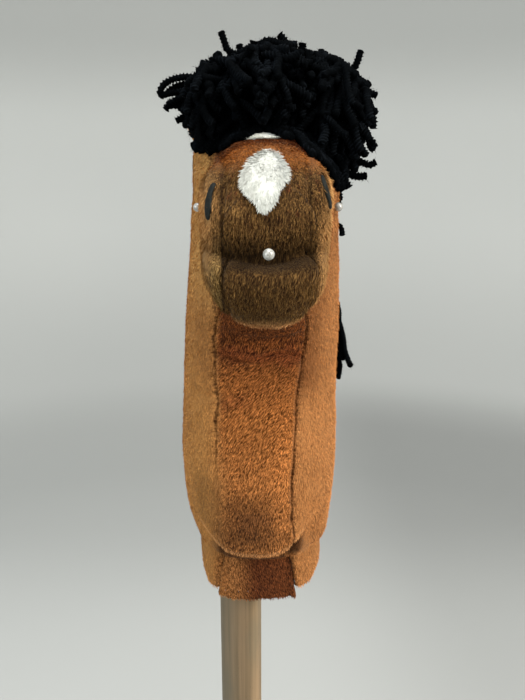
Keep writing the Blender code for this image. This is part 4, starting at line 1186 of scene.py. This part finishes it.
def strand_surface(paths, sides):
    """Points (strand, ring, side, 3) of plied yarn along even paths, and their outward directions."""
    ahead = normalised(np.gradient(paths, axis=1))
    side = normalised(np.cross(ahead[:, 0], np.array([0.31, 0.52, 0.79])))
    carried = []
    for k in range(paths.shape[1]):
        side = normalised(flattened(side, ahead[:, k]))
        carried.append(side)
    side = np.stack(carried, axis=1)
    other = np.cross(ahead, side)
    turn = lengths_along(paths) / PLY_TURN * full + chance.uniform(0, full, (len(paths), 1))
    round_strand = full * np.arange(sides) / sides
    # Three plies, with a groove between each two of them, that bead the strand's outline
    ply = 0.78 + 0.22 * np.abs(np.sin(1.5 * round_strand)) ** 0.6
    bead = 1 + 0.06 * np.sin(3 * turn)[..., None]
    angle = round_strand + turn[..., None]
    out = np.cos(angle)[..., None] * side[:, :, None] + np.sin(angle)[..., None] * other[:, :, None]
    size = np.ones(paths.shape[1])
    size[0] = 0.5
    size[-4:] = 1.08, 1.06, 0.94, 0.62
    swell = 1 + 0.07 * chance.normal(size=angle.shape)
    thick = YARN_RADIUS * chance.uniform(0.88, 1.1, (len(paths), 1, 1)) * ply
    thick = thick * size[None, :, None] * swell * bead
    return paths[:, :, None] + out * thick[..., None], out, ahead


def yarn_piece(name, paths, core=None, fuzz=20000, sides=6):
    """Strands as one piece, round a core if one is given, with a fuzz of fine hairs as another."""
    points, out, ahead = strand_surface(paths, sides)
    strands, rings = points.shape[:2]
    each, base = rings * sides, rings * sides * strands
    points = points.reshape(-1, 3)
    starts = (np.arange(strands) * each)[:, None]
    tips = base + 2 * np.arange(strands)[:, None]
    quads = grid_faces(rings, sides, closed=True)[None] + starts[..., None]
    low, high = fan(starts, sides, tips, under=True), fan(starts + each - sides, sides, tips + 1)
    k = np.arange(sides)
    strand = (np.arange(strands)[:, None, None] + 0.1 + 0.8 * k[None, None] / sides) / strands
    uv = stacked(np.linspace(0.01, 0.99, rings)[None, :, None], strand).reshape(-1, 2)
    core_points, core_faces = np.zeros((0, 3)), np.zeros((0, 4), int)
    if core is not None:
        rows, columns = 14, 24
        up, turn = np.meshgrid(np.linspace(-1.5, 1.5, rows), around(columns), indexing="ij")
        ball = stacked(np.cos(up) * np.cos(turn), np.cos(up) * np.sin(turn), np.sin(up))
        core_points = (core[0] + ball * core[1]).reshape(-1, 3)
        core_points = core_points + 2 * chance.normal(size=core_points.shape)
        core_faces = grid_faces(rows, columns, base + 2 * strands, closed=True)
    end_uv = stacked(np.tile([0.0, 1.0], strands), np.repeat((np.arange(strands) + 0.5) / strands, 2))
    made = piece(f"{name}_yarn", np.concatenate([points, paths[:, [0, -1]].reshape(-1, 3), core_points]),
                 [quads.reshape(-1, 4), core_faces, low, high], yarn, "yarn", name,
                 uv=np.concatenate([uv, end_uv, np.full((len(core_points), 2), 0.5)]))
    ridges = made.data.attributes.new("ridge", "FLOAT", "POINT")
    height = np.zeros(len(made.data.vertices))
    height[:base] = np.tile(np.abs(np.sin(1.5 * full * k / sides)) ** 2, strands * rings)
    ridges.data.foreach_set("value", height.astype(np.float32))
    chosen = chance.integers(0, base, fuzz)
    lay = np.broadcast_to(ahead[:, :, None], out.shape).reshape(-1, 3)[chosen]
    blades(f"{name}_fuzz", points[chosen], out.reshape(-1, 3)[chosen], lay, 1.9, 0.055, 0.7, yarn, "yarn",
           spread=0.9)


def body_middle(spot):
    """A point well inside the body, level with the spot."""
    height = spot[2] - HEM
    if height > 175 and spot[1] < 0:
        return np.array([HEAD_SHIFT, max(min(spot[1], -20.0), -100.0), HEM + 205])
    return np.array([HEAD_SHIFT, -5.0, HEM + min(height, 215.0)])


def clear_of_head(paths, keep_first, gap=2.3):
    """Paths pushed out of the plush, apart from their first points, which are sewn down."""
    moved = paths.copy()
    for strand in moved:
        for spot in strand[keep_first:]:
            on, normal, _, _ = plush_tree.find_nearest(Vector(spot))
            outward = np.array(normal)
            if outward @ (spot - body_middle(spot)) < 0:
                outward = -outward
            level = (spot - np.array(on)) @ outward
            if level < gap:
                spot += outward * (gap - level)
    return moved


def within_mop(paths, low, high):
    """Paths drawn in, each as a whole, until they reach between low and high times as far as the
    mop's outline as the camera sees it."""
    column, row, depth = seen(paths)
    away = stacked(column, row) - MOP_MIDDLE
    edge = MOP_EDGE - MOP_MIDDLE
    turns = np.arctan2(edge[:, 1], edge[:, 0])
    order = np.argsort(turns)
    limit = np.interp(np.arctan2(away[..., 1], away[..., 0]), turns[order],
                      np.linalg.norm(edge, axis=1)[order], period=full)
    reach = (np.linalg.norm(away, axis=-1) / limit).max(axis=1)
    share = np.minimum(1, chance.uniform(low, high, len(paths)) / reach)
    flat = MOP_MIDDLE + away * share[:, None, None]
    return unseen(flat[..., 0], flat[..., 1], depth)


def egg_directions(count):
    """Directions spread evenly over a sphere, shaken a little."""
    k = np.arange(count) + 0.5
    up = 1 - 2 * k / count
    turn = k * math.pi * (3 - math.sqrt(5))
    flat = np.sqrt(1 - up * up)
    ways = stacked(flat * np.cos(turn), flat * np.sin(turn), up)
    return normalised(ways + 0.12 * chance.normal(size=ways.shape))


def mop_controls(low, high, root, count):
    """Control points of strands that leave a root on the tape and end on an egg's surface, apart
    from its underside. Neighbours lean the same way, so that they lie beside each other."""
    middle, half = (low + high) / 2, (high - low) / 2
    ways = egg_directions(count)
    ways = ways[ways[:, 2] > -0.75]
    count = len(ways)
    outer = middle + ways * half * chance.uniform(0.84, 1.02, (count, 1))
    swirl = stacked(*(lumps(outer, 13, seed) for seed in (31, 32, 33)))
    swirl = flattened(swirl + 0.25 * chance.normal(size=swirl.shape), ways)
    drop = np.array([0, 0, -1.0])
    ending = normalised(ways * 0.75 + swirl * 1.3 + drop * 0.5)
    lead = outer - ending * chance.uniform(9, 13, (count, 1))
    deep = middle + (lead - middle) * 0.55 + 1.5 * chance.normal(size=ways.shape)
    start = root + chance.normal(size=ways.shape) * np.array([1.5, 7.0, 0.8])
    curl = np.cross(ways, ending) * chance.normal(size=(count, 1)) * 2.5
    tail = outer + normalised(ending + 0.35 * swirl + drop * 0.15) * chance.uniform(3, 8, (count, 1)) + curl
    return np.stack([start, deep, lead, outer, tail], axis=1)


# Ends of yarn that stand out of the mop, each as its y and the photo's columns and rows
LOOSE_ENDS = {
    "left": [
        (-30, 206, 78, 186, 77, 171, 80, 162, 87, 161, 95, 171, 93, 184, 92, 202, 92),
        (-34, 206, 98, 186, 97, 172, 102, 165, 110),
        (-30, 204, 110, 190, 112, 182, 118, 176, 121),
        (-32, 210, 100, 192, 104, 178, 105, 167, 104),
        (-28, 206, 86, 190, 84, 176, 87, 168, 93),
        (-32, 214, 88, 206, 76, 205, 68, 209, 61),
        (-34, 224, 84, 214, 74, 211, 65, 214, 58),
        (-30, 250, 66, 238, 56, 228, 50, 224, 40, 221, 31),
    ],
    "middle": [
        (-36, 239, 44, 241, 50, 247, 53, 252, 48, 254, 41),
        (-34, 258, 56, 262, 48, 268, 42, 275, 42),
        (-30, 292, 60, 288, 47, 284, 40, 279, 34),
        (-36, 298, 64, 301, 53, 303, 43),
        (-32, 332, 64, 346, 69, 354, 68, 358, 60, 361, 50),
    ],
    "right": [
        (-28, 336, 74, 350, 76, 359, 74),
        (-32, 348, 94, 363, 88, 370, 82),
        (-28, 350, 84, 366, 91, 377, 96),
        (-34, 358, 100, 368, 108, 373, 118, 373, 129),
        (-30, 360, 124, 368, 137, 374, 145, 370, 151),
        (-34, 344, 158, 358, 161, 369, 165, 376, 162),
        (-30, 338, 168, 354, 176, 367, 176),
        (-34, 332, 162, 343, 178, 349, 188),
        (-30, 330, 164, 338, 178, 337, 188),
    ],
}

# The mop's lower edge over the face, as the photo's columns and rows, where strands lie on the plush
LOWER_EDGE = {
    "left": (197, 147, 202, 153, 209, 155, 218, 152, 227, 147, 236, 141),
    "middle": (238, 142, 245, 140, 251, 137, 258, 135.2, 266, 134.4, 273, 135.2, 279, 137.5, 285, 140.5,
               290, 142),
    "right": (296, 140, 306, 148, 316, 158, 325, 170, 332, 182, 337, 191, 342, 182, 346, 176, 342, 164,
              336, 152, 328, 142, 318, 136),
}


def lying_strands(side, apart=2.6):
    """Strands that hang from inside the mop and end along its lower edge, on the plush."""
    edge = np.reshape(LOWER_EDGE[side], (-1, 2)).astype(float)
    steps = lengths_along(edge)
    along = np.arange(0, steps[-1], apart)
    made = []
    for end in stacked(*(np.interp(along, steps, edge[:, axis]) for axis in range(2))):
        start = end + (MOP_MIDDLE - end) * chance.uniform(0.35, 0.5)
        bend = chance.normal(size=2) * 2.0
        end = end + chance.normal(size=2) * (0.5 if side == "middle" else 1.0)
        row = []
        for share in (0.0, 0.35, 0.7, 1.0):
            spot = start + (end - start) * share + bend * math.sin(math.pi * share)
            way = Vector(unseen(spot[0], spot[1], 1.0) - camera_spot).normalized()
            on, normal, _, _ = plush_tree.ray_cast(Vector(camera_spot), way)
            if on is None or on.y < -72:
                row.append(at_depth(-50.0, *spot)[0])
            else:
                normal = normal if normal.dot(way) < 0 else -normal
                row.append(np.array(on) + np.array(normal) * 1.8)
        made.append(even_paths(np.array(row)[None], STRAND_RINGS))
    return made


def make_forelock():
    """The mop on the poll, as strands from the tape, and the single ends that stand out of it."""
    bundles = {
        "left": ((8, -18, 868), 190, (-35, -56, 838), (4, 8, 885)),
        "middle": ((12, -22, 868), 210, (-12, -64, 843), (36, 2, 889)),
        "right": ((17, -16, 868), 270, (18, -56, 818), (69, 10, 889)),
    }
    for side, (root, count, *box) in bundles.items():
        low, high = np.array(box, float)
        paths = even_paths(mop_controls(low, high, np.array(root, float), count), STRAND_RINGS)
        paths = within_mop(clear_of_head(paths, 6), 0.88, 1.06)
        ends = [even_paths(at_depth(*end)[None], STRAND_RINGS) for end in LOOSE_ENDS[side]]
        ends += lying_strands(side)
        core = (low + high) / 2 * 0.75 + np.array([12, -24, 863]) * 0.25, (high - low) / 2 * 0.52
        yarn_piece(f"forelock_{side}", np.concatenate([paths, *ends]), core)


def crest(height):
    """The place on the crest at a height, where the tape is."""
    return cast((HEAD_SHIFT + 1, 140, height), (0, -1, 0))[0]


def from_crest(hanging):
    """A strand that leaves the tape, lies round the neck and then hangs as given."""
    spot = crest(hanging[0][2] + 16)
    way = hanging[0] - spot
    over = spot + way * np.array([0.3, 0.02, 0.15]) + np.array([0, 3.5, 0])
    round_neck = spot + way * np.array([0.8, 0.35, 0.6]) + np.array([0, 3.0, 0])
    path = even_paths(np.concatenate([[spot, over, round_neck], hanging])[None], MANE_RINGS)
    return clear_of_head(path, 3)


# Strands of the mane that show beside the neck, each as its y and the photo's columns and rows
BESIDE_NECK = {
    "upper": [(30, 334, 222, 341, 228, 342, 236)],
    "middle": [],
    "lower": [
        (42, 332, 294, 338, 308, 339, 322, 343, 338, 345, 352, 351, 367),
        (46, 331, 304, 336, 316, 341, 330, 340, 344, 346, 356),
        (44, 330, 322, 337, 334, 339, 350, 344, 360),
        (47, 332, 340, 337, 354, 340, 366, 338, 379),
        (50, 331, 350, 336, 362, 337, 376),
    ],
}


# How many strands each part of the mane has, and the heights between which they leave the tape
MANE_PARTS = {"upper": (72, 807, 866), "middle": (60, 752, 807), "lower": (36, 712, 752)}


def make_mane():
    """Strands from the tape down the crest, which fall to the right side of the neck."""
    for name, (count, bottom, top) in MANE_PARTS.items():
        controls = []
        for height in np.linspace(bottom, top, count) + chance.normal(size=count) * 2:
            reach = chance.uniform(0.5, 1.0)
            fall = chance.uniform(34, 52)
            start = crest(height) + np.array([chance.normal() * 2.5, 0.5, 0])
            steps = [(0, 0, 0), (3 * reach, 6, 3), (18 * reach, 7 - 4 * reach, -fall * 0.25),
                     (32 * reach, 1 - 16 * reach * chance.uniform(0.3, 1), -fall * 0.65),
                     (38 * reach, -6 - 20 * reach * chance.uniform(0.3, 1), -fall)]
            controls.append(start + np.array(steps))
        paths = clear_of_head(even_paths(controls, MANE_RINGS), 3)
        paths[..., 0] = np.minimum(paths[..., 0], 62)
        paths = even_paths(paths[:, ::9], MANE_RINGS)
        ends = [from_crest(at_depth(*strand)) for strand in BESIDE_NECK[name]]
        yarn_piece(f"mane_{name}", np.concatenate([paths, *ends]), fuzz=16000)


make_plush()
make_wadding()
make_ears()
make_markings()
make_sides()
make_stick()
make_pins()
make_forelock()
make_mane()
wear("mane_tape", tape)


# Stage: a plain pale room with soft light


def make_stage():
    room = Look("pale room", Roughness=0.9, Specular_IOR_Level=0.15)
    pale = room.blend(room.noise(900, 1.0, 0.5), (0.40, 0.412, 0.402), (0.43, 0.44, 0.428))
    # Painted light and shade on the backdrop: the wall paler halfway up and darker higher still, the floor
    # behind painted darker towards the paper's bend, and a painted shadow on the floor to the right
    tone = 1 + room.z.ramp(60, 650) * 0.24 - room.z.ramp(1000, 1400) * 0.26
    tone = tone - room.z.ramp(120, 20) * (room.y.ramp(650, 1100) * 0.14 + room.x.ramp(40, 450) * 0.2)
    room.color(room.tint(pale, tone))
    profile = [(1, 0), (400, 0), (900, 0), (1400, 0)]
    for turn in np.linspace(0, math.pi / 2, 16)[1:]:
        profile.append((1400 + 1300 * math.sin(turn), 1300 - 1300 * math.cos(turn)))
    profile += [(2700, 2000), (2700, 3200)]
    ring = circle(around(96))
    points = [ring * radius + np.array([0, 0, height]) for radius, height in profile]
    mesh = bpy.data.meshes.new("room")
    faces = grid_faces(len(profile), len(ring), closed=True)
    mesh.from_pydata((np.concatenate(points) * MM).tolist(), [], faces.tolist())
    mesh.polygons.foreach_set("use_smooth", np.ones(len(mesh.polygons), bool))
    mesh.materials.append(room.material)
    made = bpy.data.objects.new("room", mesh)
    bpy.context.scene.collection.objects.link(made)


def lamp(name, spot, size, power, color, target=(0.012, -0.03, 0.75)):
    """A round lamp at a spot in metres, turned to the middle of the head."""
    data = bpy.data.lights.new(name, "AREA")
    data.shape, data.size, data.energy, data.color = "DISK", size, power, color
    made = bpy.data.objects.new(name, data)
    made.location = spot
    made.rotation_euler = (Vector(target) - Vector(spot)).to_track_quat("-Z", "Y").to_euler()
    bpy.context.scene.collection.objects.link(made)


make_stage()
lamp("window", (1.5, -1.1, 1.6), 0.9, 58, (1.0, 0.95, 0.88))
lamp("fill", (-1.7, -1.0, 1.4), 1.2, 28, (0.92, 0.97, 1.0))
lamp("ceiling", (0.0, -0.5, 2.6), 1.4, 48, (1.0, 0.99, 0.97))
world = bpy.data.worlds.new("room light")
world.use_nodes = True
sky = world.node_tree.nodes["Background"].inputs
sky[0].default_value = (0.95, 0.98, 1.0, 1)
sky[1].default_value = 0.5
bpy.context.scene.world = world
bpy.context.scene.view_settings.view_transform = "Standard"
